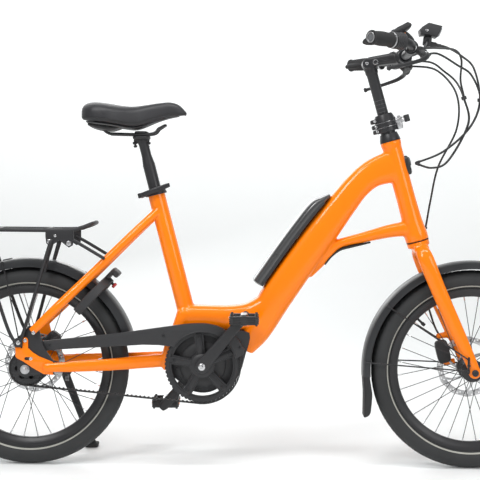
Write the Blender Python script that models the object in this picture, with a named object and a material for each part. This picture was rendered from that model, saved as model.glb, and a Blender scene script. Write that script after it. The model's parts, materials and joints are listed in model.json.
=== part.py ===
"""Compact step-through electric bicycle with 20-inch wheels, belt drive, rear rack and side stand.

+X is forward, +Z is up, the rider's right (drive side) is -Y, and the ground is Z = 0.
Points are written as (x, z, y): x ahead of the rear axle, z above the ground, y to the left.
"""

import math

import bmesh
import bpy
from mathutils import Matrix, Vector

TURN = 2 * math.pi

# Driving dimensions, in metres.
REAR_AXLE_X = -0.555
WHEELBASE = 1.142
TYRE_RADIUS = 0.258
TYRE_SEGMENTS = 32
# The tyre stands on the flat between two of its segments.
AXLE_Z = TYRE_RADIUS * math.cos(math.pi / TYRE_SEGMENTS)
RIM_RADIUS = 0.2082
SPOKES = 28
SPOKE_HALF = 0.0011
GAP = 0.0003
FENDER_RADIUS = 0.281
FENDER_EDGE = 0.2630
CRANK_X, CRANK_Z = 0.450, 0.268
CRANK_LENGTH = 0.168
CRANK_ANGLE = math.radians(50.3)
SPINDLE_RADIUS, PEDAL_Y = 0.006, 0.137
RING_RADIUS, PULLEY_RADIUS = 0.096, 0.042
RING_ARMS = 5
BELT_Y, BELT_WIDTH, BELT_THICKNESS = -0.050, 0.011, 0.004
DROPOUT_INNER, DROPOUT_THICKNESS = 0.0655, 0.007
ROTOR_RADIUS, ROTOR_THICKNESS = 0.080, 0.002
REAR_ROTOR_Y, FRONT_ROTOR_Y = 0.0535, 0.0415
SEAT_TOP, SEAT_BOTTOM = (0.3234, 0.716), (0.411, 0.379)
SEAT_TUBE_RADIUS, POST_RADIUS, POST_NECK_RADIUS = 0.022, 0.0158, 0.0127
HEAD_TOP, HEAD_BOTTOM = (0.928, 0.844), (1.001, 0.588)
STEERER_RADIUS, STEM_RADIUS = 0.0190, 0.0143
BAR_X, BAR_Z = 0.957, 1.056
BAR_RADIUS, GRIP_RADIUS = 0.0111, 0.0172

COLOURS = {
    "orange": ((0.90, 0.22, 0.01, 1), 0.25, 0.0),
    "black_paint": ((0.015, 0.015, 0.017, 1), 0.45, 0.0),
    "black_plastic": ((0.03, 0.03, 0.033, 1), 0.6, 0.0),
    "rubber": ((0.02, 0.02, 0.02, 1), 0.85, 0.0),
    "steel": ((0.55, 0.56, 0.58, 1), 0.28, 1.0),
    "vinyl": ((0.025, 0.025, 0.028, 1), 0.55, 0.0),
}

for old in list(bpy.data.objects):
    bpy.data.objects.remove(old)


def at(x, z, y=0.0):
    return Vector((REAR_AXLE_X + x, y, z))


def material(name):
    found = bpy.data.materials.get(name)
    if found:
        return found
    colour, roughness, metallic = COLOURS[name]
    made = bpy.data.materials.new(name)
    made.use_nodes = True
    shader = made.node_tree.nodes["Principled BSDF"]
    shader.inputs["Base Color"].default_value = colour
    shader.inputs["Roughness"].default_value = roughness
    shader.inputs["Metallic"].default_value = metallic
    return made


def place(name, bm):
    """An object in the scene holding this bmesh, its faces turned outwards."""
    bmesh.ops.recalc_face_normals(bm, faces=bm.faces)
    mesh = bpy.data.meshes.new(name)
    bm.to_mesh(mesh)
    bm.free()
    obj = bpy.data.objects.new(name, mesh)
    bpy.context.scene.collection.objects.link(obj)
    return obj


def node(name, colour, shapes, cuts=(), solver="EXACT"):
    """One named part: the shapes united, with the cuts taken out."""
    obj = place(name, shapes[0])
    helpers = []
    for operation, pieces in (("UNION", shapes[1:]), ("DIFFERENCE", cuts)):
        for piece in pieces:
            helper = place(name + "_helper", piece)
            modifier = obj.modifiers.new(operation, "BOOLEAN")
            modifier.operation = operation
            modifier.solver = solver
            modifier.object = helper
            helpers.append(helper)
    if helpers:
        graph = bpy.context.evaluated_depsgraph_get()
        mesh = bpy.data.meshes.new_from_object(obj.evaluated_get(graph))
        obj.modifiers.clear()
        obj.data = mesh
        for helper in helpers:
            bpy.data.objects.remove(helper)
    obj.data.name = name
    obj.data.materials.clear()
    obj.data.materials.append(material(colour))
    obj.data.shade_smooth()
    obj.data.set_sharp_from_angle(angle=math.radians(35))
    return obj


def rings_to_bmesh(rings, closed_path):
    """Joins rings of equal length into a tube, with end caps unless the path is a loop."""
    bm = bmesh.new()
    rows = [[bm.verts.new(point) for point in ring] for ring in rings]
    count = len(rows[0])
    pairs = list(zip(rows, rows[1:]))
    if closed_path:
        pairs.append((rows[-1], rows[0]))
    for one, two in pairs:
        for i in range(count):
            j = (i + 1) % count
            bm.faces.new((one[i], one[j], two[j], two[i]))
    if not closed_path:
        bm.faces.new(rows[0][::-1])
        bm.faces.new(rows[-1])
    return bm


def spline(rows, steps):
    """Catmull-Rom curve through rows of numbers, with this many steps between two rows."""
    result = []
    last = len(rows) - 1
    for i in range(last):
        a, b, c, d = (rows[max(i - 1, 0)], rows[i], rows[i + 1], rows[min(i + 2, last)])
        for step in range(steps):
            t = step / steps
            result.append(
                tuple(
                    0.5 * (2 * q + (r - p) * t + (2 * p - 5 * q + 4 * r - s) * t**2
                       + (3 * q - p - 3 * r + s) * t**3)
                    for p, q, r, s in zip(a, b, c, d)
                )
            )
    result.append(tuple(rows[-1]))
    return result


def sweep(rows, sides=12, steps=1, side=(0, 1, 0), closed=False, squareness=2.0):
    """A tube through rows (x, z, y, half height, half width); the width lies towards side.

    A squareness above 2 turns the oval section into a rounded box.
    """
    if steps > 1:
        rows = spline(rows, steps)
    points = [at(x, z, y) for x, z, y, _, _ in rows]
    rings = []
    last = len(points) - 1
    for i, (point, row) in enumerate(zip(points, rows)):
        before = points[i - 1] if closed or i else point
        after = points[(i + 1) % len(points)] if closed or i < last else point
        along = (after - before).normalized()
        across = Vector(side)
        across = (across - across.dot(along) * along).normalized()
        up = along.cross(across)
        ring = []
        for k in range(sides):
            angle = TURN * (k + 0.5) / sides
            c, s = math.cos(angle), math.sin(angle)
            reach = (abs(c) ** squareness + abs(s) ** squareness) ** (-1 / squareness)
            ring.append(point + reach * (c * row[4] * across + s * row[3] * up))
        rings.append(ring)
    return rings_to_bmesh(rings, closed)


def loft(stations, sides, squareness):
    """Upright rounded sections (x, half width, top, bottom) joined along the bicycle."""
    rings = []
    for x, half, top, bottom in stations:
        ring_points = []
        for k in range(sides):
            angle = TURN * (k + 0.5) / sides
            c, s = math.cos(angle), math.sin(angle)
            reach = (abs(c) ** squareness + abs(s) ** squareness) ** (-1 / squareness)
            ring_points.append(at(x, (top + bottom) / 2 + reach * s * (top - bottom) / 2, reach * c * half))
        rings.append(ring_points)
    return rings_to_bmesh(rings, False)


def rod(points, radius, sides=8, steps=1, side=(0, 1, 0), closed=False):
    return sweep([(*p, radius, radius) for p in points], sides, steps, side, closed)


def frame_along(origin, direction, zero=(1, 0, 0)):
    """Matrix whose local Z runs along direction and whose local X is nearest to zero."""
    z = Vector(direction).normalized()
    x = Vector(zero)
    x = (x - x.dot(z) * z).normalized()
    y = z.cross(x)
    turn = Matrix((x, y, z)).transposed().to_4x4()
    return Matrix.Translation(origin) @ turn


def turned(profile, matrix, segments=24, start=0.0, sweep_angle=TURN, phase=0.0):
    """The closed profile of (radius, along) points turned about the matrix's local Z."""
    whole = abs(sweep_angle - TURN) < 1e-6
    count = segments if whole else segments + 1
    rings = []
    for i in range(count):
        angle = start + phase + sweep_angle * i / segments
        rings.append([matrix @ Vector((r * math.cos(angle), r * math.sin(angle), a)) for r, a in profile])
    return rings_to_bmesh(rings, whole)


def lathe(profile, matrix, segments=20):
    """A solid of revolution through (radius, along) points, closed by flat ends."""
    angles = [TURN * (i + 0.5) / segments for i in range(segments)]
    return rings_to_bmesh(
        [[matrix @ Vector((radius * math.cos(a), radius * math.sin(a), along)) for a in angles]
         for radius, along in profile],
        False,
    )


def disc(radius, low, high, matrix, segments=20):
    """A solid cylinder."""
    return lathe([(radius, low), (radius, high)], matrix, segments)


def ring(inner, outer, low, high, matrix, segments=24, phase=0.0):
    return turned([(inner, low), (outer, low), (outer, high), (inner, high)], matrix, segments, phase=phase)


def box(size, matrix):
    """A box of this size (along local x, y, z), centred on the matrix."""
    x, y, z = (value / 2 for value in size)
    corners = ((-x, -y), (x, -y), (x, y), (-x, y))
    return rings_to_bmesh([[matrix @ Vector((a, b, c)) for a, b in corners] for c in (-z, z)], False)


def plate(outline, y_low, y_high):
    """An (x, z) outline extruded across the bicycle."""
    return rings_to_bmesh([[at(x, z, y) for x, z in outline] for y in (y_low, y_high)], False)


def lateral(x, z, y=0.0):
    """Matrix at this point whose local Z points to the left and whose local X is forward."""
    return frame_along(at(x, z, y), (0, 1, 0))


def arc(cx, cz, radius, start, end, count):
    """Points of an arc in the side view, angles in degrees from forward, anticlockwise."""
    angles = (math.radians(start + (end - start) * i / (count - 1)) for i in range(count))
    return [(cx + radius * math.cos(a), cz + radius * math.sin(a)) for a in angles]


def axis_between(low, high):
    return (at(*high) - at(*low)).normalized()


SEAT_AXIS = axis_between(SEAT_BOTTOM, SEAT_TOP)
HEAD_AXIS = axis_between(HEAD_BOTTOM, HEAD_TOP)


def seat_matrix(z):
    """On the seat tube's axis at this height."""
    foot = at(*SEAT_BOTTOM)
    return frame_along(foot + SEAT_AXIS * ((z - foot.z) / SEAT_AXIS.z), SEAT_AXIS)


def head_matrix(z):
    """On the steering axis at this height."""
    foot = at(*HEAD_BOTTOM)
    return frame_along(foot + HEAD_AXIS * ((z - foot.z) / HEAD_AXIS.z), HEAD_AXIS)


REAR = lateral(0, AXLE_Z)
FRONT = lateral(WHEELBASE, AXLE_Z)
CRANK = lateral(CRANK_X, CRANK_Z)


# ---------------------------------------------------------------- frame

def stay_rows(side, inner_end):
    """Chain stay and seat stay of one side; inner_end is where their flat ends lie across the bicycle."""
    chain = [
        (0.352, 0.276, side * 0.026, 0.017, 0.012),
        (0.300, 0.273, side * 0.033, 0.017, 0.011),
        (0.220, 0.268, side * 0.050, 0.016, 0.010),
        (0.120, 0.265, side * (inner_end - 0.003), 0.014, 0.0070),
        (0.090, 0.264, side * inner_end, 0.013, 0.0055),
        (0.048, 0.262, side * inner_end, 0.012, 0.0055),
    ]
    seat = [
        (0.336, 0.664, side * 0.012, 0.012, 0.011),
        (0.270, 0.601, side * 0.029, 0.012, 0.011),
        (0.160, 0.4925, side * 0.0495, 0.012, 0.011),
        (0.080, 0.414, side * (inner_end - 0.004), 0.012, 0.0085),
        (0.046, 0.3805, side * inner_end, 0.0115, 0.0055),
        (0.018, 0.353, side * inner_end, 0.011, 0.0055),
    ]
    return chain, seat


DROPOUT_OUTLINE = (
    arc(0.0, AXLE_Z, 0.020, 180, 300, 7)
    + [(0.050, 0.245), (0.076, 0.252), (0.080, 0.272), (0.056, 0.300), (0.040, 0.340)]
    + [(0.030, 0.366), (0.010, 0.368), (-0.006, 0.350), (-0.024, 0.334), (-0.024, 0.318)]
)


LUG_OUTLINE = [
    (-0.024, 0.290), (-0.024, 0.315), (-0.012, 0.316), (-0.009, 0.308), (-0.006, 0.312), (-0.0065, 0.330),
    (-0.004, 0.337), (0.003, 0.339), (0.008, 0.334), (0.0085, 0.312), (0.036, 0.291), (0.072, 0.2765),
    (0.072, 0.2435), (0.048, 0.2455), (0.020, 0.2610), (-0.006, 0.2785),
]
LUG_OUTER = 0.0760


def dropout_slots(y_low, y_high):
    """The two slots that let the axle slide to tighten the belt."""
    return [plate([(x, z - 0.004), (x + 0.020, z - 0.004), (x + 0.020, z + 0.004), (x, z + 0.004)], y_low, y_high)
            for x, z in ((0.000, 0.2845), (0.048, 0.2620))]


def down_tube_shell():
    return sweep(
        [
            (0.552, 0.290, 0, 0.018, 0.030),
            (0.590, 0.352, 0, 0.034, 0.036),
            (0.636, 0.438, 0, 0.042, 0.038),
            (0.697, 0.529, 0, 0.042, 0.037),
            (0.763, 0.622, 0, 0.040, 0.034),
            (0.812, 0.688, 0, 0.036, 0.030),
            (0.846, 0.730, 0, 0.034, 0.027),
            (0.886, 0.762, 0, 0.036, 0.025),
            (0.944, 0.782, 0, 0.043, 0.023),
        ],
        sides=14, squareness=2.8,
    )


def make_frame():
    right_chain, right_seat = stay_rows(-1, DROPOUT_INNER + DROPOUT_THICKNESS + GAP + 0.0055)
    left_chain, left_seat = stay_rows(1, DROPOUT_INNER + DROPOUT_THICKNESS / 2)
    low_tube = sweep(
        [
            (0.392, 0.384, 0, 0.032, 0.030),
            (0.430, 0.385, 0, 0.033, 0.033),
            (0.520, 0.385, 0, 0.033, 0.036),
            (0.575, 0.394, 0, 0.034, 0.036),
            (0.625, 0.424, 0, 0.034, 0.036),
        ],
        sides=14, steps=2, squareness=2.8,
    )
    seat_length = (at(*SEAT_TOP) - at(*SEAT_BOTTOM)).length
    strut = sweep(
        [
            (0.982, 0.620, 0, 0.020, 0.020),
            (0.930, 0.613, 0, 0.017, 0.019),
            (0.860, 0.5955, 0, 0.0135, 0.018),
            (0.800, 0.5795, 0, 0.0120, 0.020),
            (0.768, 0.5560, 0, 0.0165, 0.020),
            (0.747, 0.5300, 0, 0.0150, 0.018),
            (0.722, 0.4960, 0, 0.0080, 0.016),
        ],
        sides=10, steps=2, squareness=2.4,
    )
    head_length = (at(*HEAD_TOP) - at(*HEAD_BOTTOM)).length
    head_profile = [
        (0.0300, 0.0), (0.0300, 0.018), (0.0262, 0.050), (0.0245, 0.110),
        (0.0245, head_length - 0.016), (0.0265, head_length - 0.010), (0.0265, head_length),
    ]
    head = frame_along(at(*HEAD_BOTTOM), HEAD_AXIS)
    seat = frame_along(at(*SEAT_BOTTOM), SEAT_AXIS)
    yoke = sweep(
        [(0.402, 0.400, 0, 0.020, 0.032), (0.378, 0.345, 0, 0.014, 0.040), (0.357, 0.300, 0, 0.011, 0.041),
         (0.356, 0.252, 0, 0.010, 0.038)],
        sides=8, squareness=4.0,
    )
    outer = DROPOUT_INNER + DROPOUT_THICKNESS
    stay_bridge = rod([(0.262, 0.594, -0.034), (0.262, 0.594, 0.034)], 0.008, side=(0, 0, 1))
    main = node(
        "main_frame", "orange",
        [
            down_tube_shell(), low_tube, strut, yoke,
            lathe([(0.0235, -0.020), (0.0225, 0.03), (SEAT_TUBE_RADIUS, seat_length)], seat, 16),
            lathe(head_profile, head, 16),
            sweep(right_chain, 8, 2), sweep(left_chain, 8, 2),
            sweep(right_seat, 8, 2), sweep(left_seat, 8, 2),
            stay_bridge,
            plate(DROPOUT_OUTLINE, DROPOUT_INNER, DROPOUT_INNER + DROPOUT_THICKNESS),
            plate(LUG_OUTLINE, -LUG_OUTER, -outer - GAP),
        ],
        cuts=[
            *dropout_slots(-LUG_OUTER - 0.01, -outer),
            disc(STEERER_RADIUS + 0.0006, -0.02, head_length + 0.02, head, 16),
            disc(POST_RADIUS + GAP, 0.050, seat_length + 0.02, seat, 16),
            disc(0.0063, DROPOUT_INNER - 0.01, DROPOUT_INNER + 0.03, REAR, 12),
        ],
    )
    node(
        "right_dropout", "black_paint",
        [plate(DROPOUT_OUTLINE, -outer, -DROPOUT_INNER)],
        cuts=[
            disc(0.0063, -outer - 0.01, -DROPOUT_INNER + 0.01, REAR, 12),
        ],
    )
    node("headset_cup", "black_paint", [
        turned([(0.0196, 0), (0.0262, 0), (0.0262, 0.005), (0.0225, 0.020), (0.0196, 0.020)],
               frame_along(at(*HEAD_TOP) + HEAD_AXIS * GAP, HEAD_AXIS), 20),
    ])
    collar = seat_matrix(SEAT_TOP[1] - 0.006)
    ears = box((0.018, 0.018, 0.012), collar @ Matrix.Translation((-0.0345, 0, 0)))
    node("seat_clamp", "black_paint",
         [ring(SEAT_TUBE_RADIUS + 0.0012, 0.0275, -0.008, 0.008, collar, 24), ears])
    bumper = sweep(
        [(0.7630, 0.5270, 0, 0.0034, 0.014), (0.7790, 0.5475, 0, 0.004, 0.015),
         (0.8010, 0.5640, 0, 0.004, 0.015), (0.8280, 0.5720, 0, 0.004, 0.015),
         (0.8540, 0.5775, 0, 0.003, 0.014), (0.8790, 0.5830, 0, 0.002, 0.012)],
        sides=8, steps=2,
    )
    node("gusset_bumper", "rubber", [bumper], cuts=[main_copy(main)])
    port = frame_along(at(0.9700, 0.782), (0.96, 0, 0.277))
    node("cable_port", "black_plastic", [
        box((0.048, 0.026, 0.012), port @ Matrix.Translation((0, 0, 0.003))),
        disc(0.010, 0.004, 0.016, port, 12),
    ], cuts=[disc(0.0248, -0.2, 0.3, head_matrix(0.782), 32)])
    return main


def main_copy(obj):
    """The part's shape grown by the gap, for cutting a neighbour that sits on it."""
    bm = bmesh.new()
    bm.from_mesh(obj.data)
    bm.normal_update()
    for vert in bm.verts:
        vert.co += vert.normal * 2 * GAP
    return bm


# ---------------------------------------------------------------- drive

def make_motor():
    housing_outline = (
        arc(CRANK_X, CRANK_Z, 0.074, 150, 300, 11)
        + [(0.535, 0.232), (0.552, 0.262), (0.560, 0.300), (0.556, 0.330), (0.535, 0.3495), (0.400, 0.3495)]
    )
    node(
        "motor_housing", "black_plastic",
        [
            plate(housing_outline, -0.036, 0.046),
            disc(0.060, -0.040, 0.052, CRANK, 24),
            disc(0.024, -0.043, 0.058, CRANK, 16),
        ],
        cuts=[disc(0.0125, -0.1, 0.1, CRANK, 16), down_tube_cutter()],
    )
    guard = (
        [(0.024, 0.303), (0.241, 0.317), (0.297, 0.321), (0.352, 0.318)]
        + arc(CRANK_X, CRANK_Z, 0.086, 150, 10, 15)
        + [(0.560, 0.284), (0.556, 0.312), (0.539, 0.340), (0.514, 0.357), (0.490, 0.370), (0.460, 0.377)]
        + [(0.400, 0.374), (0.323, 0.363), (0.241, 0.351), (0.130, 0.338), (0.024, 0.327)]
    )
    node("belt_guard", "black_plastic", [plate(guard, -0.0645, -0.0610)])


def down_tube_cutter():
    return sweep(
        [(0.540, 0.262, 0, 0.019, 0.060), (0.548, 0.284, 0, 0.022, 0.060), (0.590, 0.352, 0, 0.036, 0.060),
         (0.636, 0.438, 0, 0.044, 0.060)],
        sides=12, steps=2, squareness=2.8,
    )


def belt_rows():
    """The belt's loop round the rear pulley and the chain-wheel, by the two circles' outer tangents."""
    small, large = PULLEY_RADIUS + 0.0005, RING_RADIUS + 0.0005
    half = BELT_THICKNESS / 2
    span = math.hypot(CRANK_X, CRANK_Z - AXLE_Z)
    lean = math.degrees(math.atan2(CRANK_Z - AXLE_Z, CRANK_X))
    spread = math.degrees(math.acos((small - large) / span))
    rear = arc(0, AXLE_Z, small + half, lean + spread, lean + 360 - spread, 15)
    front = arc(CRANK_X, CRANK_Z, large + half, lean - spread, lean + spread, 25)
    return [(x, z, BELT_Y, half, BELT_WIDTH / 2) for x, z in rear + front]


def make_drive():
    rows = belt_rows()
    outer_and_inner = []
    for i, (x, z, _, half, _) in enumerate(rows):
        before, after = rows[i - 1], rows[(i + 1) % len(rows)]
        dx, dz = after[0] - before[0], after[1] - before[1]
        size = math.hypot(dx, dz)
        outer_and_inner.append((x, z, dz / size * half, -dx / size * half))
    sections = [
        [at(x + s * nx, z + s * nz, BELT_Y + w * BELT_WIDTH / 2)
         for s, w in ((-1, -1), (1, -1), (1, 1), (-1, 1))]
        for x, z, nx, nz in outer_and_inner
    ]
    node("drive_belt", "rubber", [rings_to_bmesh(sections, True)])
    arms = [
        box((0.060, 0.016, 0.007), CRANK @ Matrix.Rotation(TURN * i / RING_ARMS - CRANK_ANGLE / 2, 4, "Z")
            @ Matrix.Translation((0.053, 0, BELT_Y)))
        for i in range(RING_ARMS)
    ]
    node("belt_ring", "black_plastic",
         [ring(0.080, RING_RADIUS - 0.0003, BELT_Y - 0.006, BELT_Y + 0.006, CRANK, 36),
          disc(0.027, BELT_Y - 0.006, BELT_Y + 0.006, CRANK, 20)] + arms,
         cuts=[disc(0.0124, -0.1, 0.1, CRANK, 16)])
    node("rear_pulley", "black_paint",
         [ring(0.0075, PULLEY_RADIUS - 0.0005, BELT_Y - 0.0060, BELT_Y + 0.0060, REAR, 32),
          ring(0.0075, PULLEY_RADIUS + 0.003, BELT_Y + 0.0058, BELT_Y + 0.0075, REAR, 32)])
    make_crank("crank_right", -1, CRANK_ANGLE)
    make_crank("crank_left", 1, CRANK_ANGLE + math.pi)


def along_crank(angle, distance):
    """The point (x, z) on a crank arm's line, this far from the crank's axis."""
    return CRANK_X + distance * math.cos(angle), CRANK_Z + distance * math.sin(angle)


def make_crank(name, side, angle):
    """An arm with its pedal spindle, and the pedal; the left arm also carries the motor's shaft."""
    face = 0.068 if side < 0 else 0.066
    stations = (
        # distance, offset from the arm's inner face, half height, half width
        (-0.006, 0.007, 0.017, 0.007), (0.030, 0.007, 0.016, 0.007), (0.120, 0.013, 0.012, 0.006),
        (CRANK_LENGTH + 0.010, 0.016, 0.014, 0.006),
    )
    rows = [(*along_crank(angle, distance), side * (face + offset), high, wide)
            for distance, offset, high, wide in stations]
    px, pz = along_crank(angle, CRANK_LENGTH)
    shapes = [
        sweep(rows, sides=10, steps=2, squareness=3.0),
        disc(0.019, side * face, side * (face + 0.014), CRANK, 20),
        disc(SPINDLE_RADIUS, side * (face + 0.012), side * 0.170, lateral(px, pz), 10),
    ]
    if side > 0:
        shapes.append(disc(0.012, -0.067, face + 0.004, CRANK, 16))
    node(name, "black_paint", shapes)
    make_pedal(name.replace("crank", "pedal"), side, px, pz)


def make_pedal(name, side, px, pz):
    def bar(size, x, y):
        return box(size, frame_along(at(x, pz, side * y), (0, 0, 1), (1, 0, 0)))

    barrel = disc(0.013, side * 0.0975, side * 0.1765, lateral(px, pz), 14)
    long_bars = [bar((0.009, 0.082, 0.024), px + dx, PEDAL_Y) for dx in (-0.0315, 0.0315)]
    end_bars = [bar((0.070, 0.012, 0.020), px, y) for y in (PEDAL_Y - 0.034, PEDAL_Y + 0.034)]
    node(name, "black_plastic", [barrel] + long_bars + end_bars,
         cuts=[disc(SPINDLE_RADIUS + 2 * GAP, side * 0.09, side * 0.1725, lateral(px, pz), 10)])


# ---------------------------------------------------------------- wheels

def tyre_profile():
    half = [(TYRE_RADIUS, 0.013), (0.2505, 0.0225), (0.2370, 0.0275), (0.2225, 0.0262),
            (RIM_RADIUS + GAP, 0.0185)]
    inside = [(RIM_RADIUS + GAP, 0.0130), (0.2440, 0.0215)]
    one = half + inside
    return one + [(r, -y) for r, y in reversed(one)]


def spoke_set(hub, flange_radius, flange_y, phase):
    """All spokes of a wheel, leaving the flanges by turns to the left and the right, as one mesh."""
    bm = bmesh.new()
    rim_end, flange_end = 0.1866, flange_radius - 0.003
    for i in range(SPOKES):
        angle = TURN * i / SPOKES + phase
        lean = math.radians(16) * (1 if i % 4 < 2 else -1)
        # Crossing spokes pass on either side of their flange's middle.
        y = (flange_y if i % 2 else -flange_y) + math.copysign(0.0016, lean)
        start = Vector((flange_end * math.cos(angle - lean), flange_end * math.sin(angle - lean), y))
        end = Vector((rim_end * math.cos(angle), rim_end * math.sin(angle), y * 0.10))
        turn = frame_along(hub @ start, (hub @ end) - (hub @ start), (0, 1, 0))
        corners = [(SPOKE_HALF * a, SPOKE_HALF * b) for a, b in ((-1, -1), (1, -1), (1, 1), (-1, 1))]
        length = (end - start).length
        rows = [[bm.verts.new(turn @ Vector((a, b, z))) for a, b in corners] for z in (0, length)]
        for k in range(4):
            j = (k + 1) % 4
            bm.faces.new((rows[0][k], rows[0][j], rows[1][j], rows[1][k]))
        bm.faces.new(rows[0][::-1])
        bm.faces.new(rows[1])
    return bm


def make_rotor(name, hub, y):
    low, high = y - ROTOR_THICKNESS / 2, y + ROTOR_THICKNESS / 2
    arms = [
        box((0.046, 0.007, ROTOR_THICKNESS * 0.9), hub @ Matrix.Rotation(TURN * i / 5, 4, "Z")
            @ Matrix.Translation((0.045, 0.008, y)) @ Matrix.Rotation(0.35, 4, "Z"))
        for i in range(5)
    ]
    rings = [ring(0.066, ROTOR_RADIUS, low, high, hub, 24), ring(0.0130, 0.028, low, high, hub, 12)]
    node(name, "steel", rings + arms)


def make_wheel(which, hub, hub_profile, flange_radius, flange_y, phase, rotor_y):
    step = math.pi / TYRE_SEGMENTS
    node(which + "_tyre", "rubber", [turned(tyre_profile(), hub, TYRE_SEGMENTS, phase=step)])
    half = [(RIM_RADIUS, 0.0145), (0.1985, 0.0130), (0.1880, 0.0060)]
    node(which + "_rim", "black_paint",
         [turned(half + [(r, -y) for r, y in reversed(half)], hub, TYRE_SEGMENTS, phase=step)])
    node(which + "_hub", "black_paint",
         [turned(hub_profile, hub, 24), spoke_set(hub, flange_radius, flange_y, phase)])
    make_rotor(which + "_rotor", hub, rotor_y)


def make_wheels():
    rear_profile = [
        (0.0068, -0.0400), (0.0300, -0.0400), (0.0340, -0.0322), (0.0450, -0.0312), (0.0450, -0.0254),
        (0.0370, -0.0240), (0.0370, 0.0240), (0.0450, 0.0254), (0.0450, 0.0312), (0.0300, 0.0330),
        (0.0240, 0.0522), (0.0068, 0.0522),
    ]
    front_profile = [
        (0.0068, -0.0455), (0.0130, -0.0455), (0.0150, -0.0350), (0.0270, -0.0335), (0.0270, -0.0280),
        (0.0170, -0.0260), (0.0170, 0.0260), (0.0290, 0.0280), (0.0290, 0.0335), (0.0180, 0.0350),
        (0.0120, 0.0380), (0.0120, 0.0460), (0.0068, 0.0460),
    ]
    # The lock's bar passes the wheel 47.2 degrees above forward, halfway between two spokes.
    rear_phase = math.radians(180 / SPOKES - 47.2)
    make_wheel("rear", REAR, rear_profile, 0.045, 0.0283, rear_phase, REAR_ROTOR_Y)
    make_wheel("front", FRONT, front_profile, 0.027, 0.0307, 0.1, FRONT_ROTOR_Y)
    axle = [disc(0.006, -0.0900, 0.0900, REAR, 12),
            disc(0.0115, -0.0845, -0.0730, REAR, 6), disc(0.0115, 0.0730, 0.0845, REAR, 6)]
    node("rear_axle", "steel", axle)


def fender_ring(hub, start, end, segments):
    outer = [(FENDER_EDGE, -0.0325), (0.2770, -0.0310), (FENDER_RADIUS, -0.0180), (FENDER_RADIUS, 0.0180),
             (0.2770, 0.0310), (FENDER_EDGE, 0.0325)]
    inner = [(FENDER_EDGE, 0.0306), (0.2755, 0.0291), (0.2790, 0.0172), (0.2790, -0.0172), (0.2755, -0.0291),
             (FENDER_EDGE, -0.0306)]
    # Local angles run from forward towards down, because local Z points to the left.
    return turned(outer + inner, hub, segments, math.radians(-start), math.radians(start - end))


def make_rear_trim():
    node("rear_fender", "black_plastic", [fender_ring(REAR, 13, 196, 18)])
    caliper_x, caliper_z = 0.046, 0.316
    caliper = lateral(caliper_x, caliper_z, REAR_ROTOR_Y)
    node("rear_caliper", "black_paint",
         [box((0.046, 0.034, 0.026), caliper @ Matrix.Rotation(-0.9, 4, "Z")),
          disc(0.012, -0.0128, -0.0160, caliper, 12), disc(0.012, 0.0080, 0.0115, caliper, 12)],
         cuts=[disc(ROTOR_RADIUS + 0.003, REAR_ROTOR_Y - 0.0016, REAR_ROTOR_Y + 0.0016, REAR, 36),
               plate(DROPOUT_OUTLINE, DROPOUT_INNER - GAP, DROPOUT_INNER + 0.02)])


def make_rack():
    deck_z, half = 0.611, 0.056
    right_side = [(-0.282, deck_z, half - 0.014), (-0.262, deck_z, half), (0.100, deck_z, half),
                  (0.138, deck_z + 0.006, half - 0.002), (0.164, deck_z + 0.016, half - 0.014)]
    loop = ([(-0.284, deck_z, 0.0)] + right_side + [(0.170, deck_z + 0.019, 0.0)]
            + [(x, z, -y) for x, z, y in reversed(right_side)])
    shapes = [
        rod(loop, 0.005, 8, side=(0, 0, 1), closed=True),
        rod([(-0.280, deck_z + 0.001, 0), (0.163, deck_z + 0.001, 0), (0.171, deck_z + 0.018, 0)], 0.004, 6),
    ]
    for x in (-0.200, -0.080, 0.050):
        shapes.append(rod([(x, deck_z + 0.001, -half), (x, deck_z + 0.001, half)], 0.0042, 6, side=(0, 0, 1)))
    for side in (-1, 1):
        y = side * (half + 0.004)
        bracket = [(0.050, 0.608), (0.054, 0.570), (0.074, 0.564), (0.124, 0.572), (0.120, 0.606)]
        shapes.append(plate(bracket, y - 0.0015, y + 0.0015))
        front_leg = [(0.066, 0.586, y), (0.056, 0.556, side * 0.066), (0.004, 0.372, side * 0.0805),
                     (-0.012, 0.327, side * 0.0805)]
        rear_leg = [(-0.126, 0.609, y - side * 0.003), (-0.118, 0.588, side * 0.066),
                    (-0.046, 0.372, side * 0.0800), (-0.020, 0.324, side * 0.0805)]
        shapes.append(rod(front_leg, 0.0045, 6))
        shapes.append(rod(rear_leg, 0.0045, 6))
        shapes.append(disc(0.010, side * 0.0765, side * 0.0835, lateral(-0.015, 0.326), 12))
    front_stay = [(0.110, 0.590, 0.0570), (0.134, 0.578, 0.0565), (0.2050, 0.5360, 0.0562)]
    for side in (-1, 1):
        shapes.append(rod([(x, z, side * y) for x, z, y in front_stay], 0.004, 6))
    node("rack", "black_paint", shapes)


# ---------------------------------------------------------------- lock and stand

LOCK_AXIS_ALONG = Vector((0.686, 0, 0.727)).normalized()
LOCK_CENTRE = (0.1577, 0.432)
LOCK_RADIUS = 0.066


def lock_matrix():
    """Local Z is square to the lock's plane and points forward-down; local X is up along the stays."""
    normal = Vector((0.727, 0, -0.686))
    return frame_along(at(*LOCK_CENTRE), normal, LOCK_AXIS_ALONG)


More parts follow.
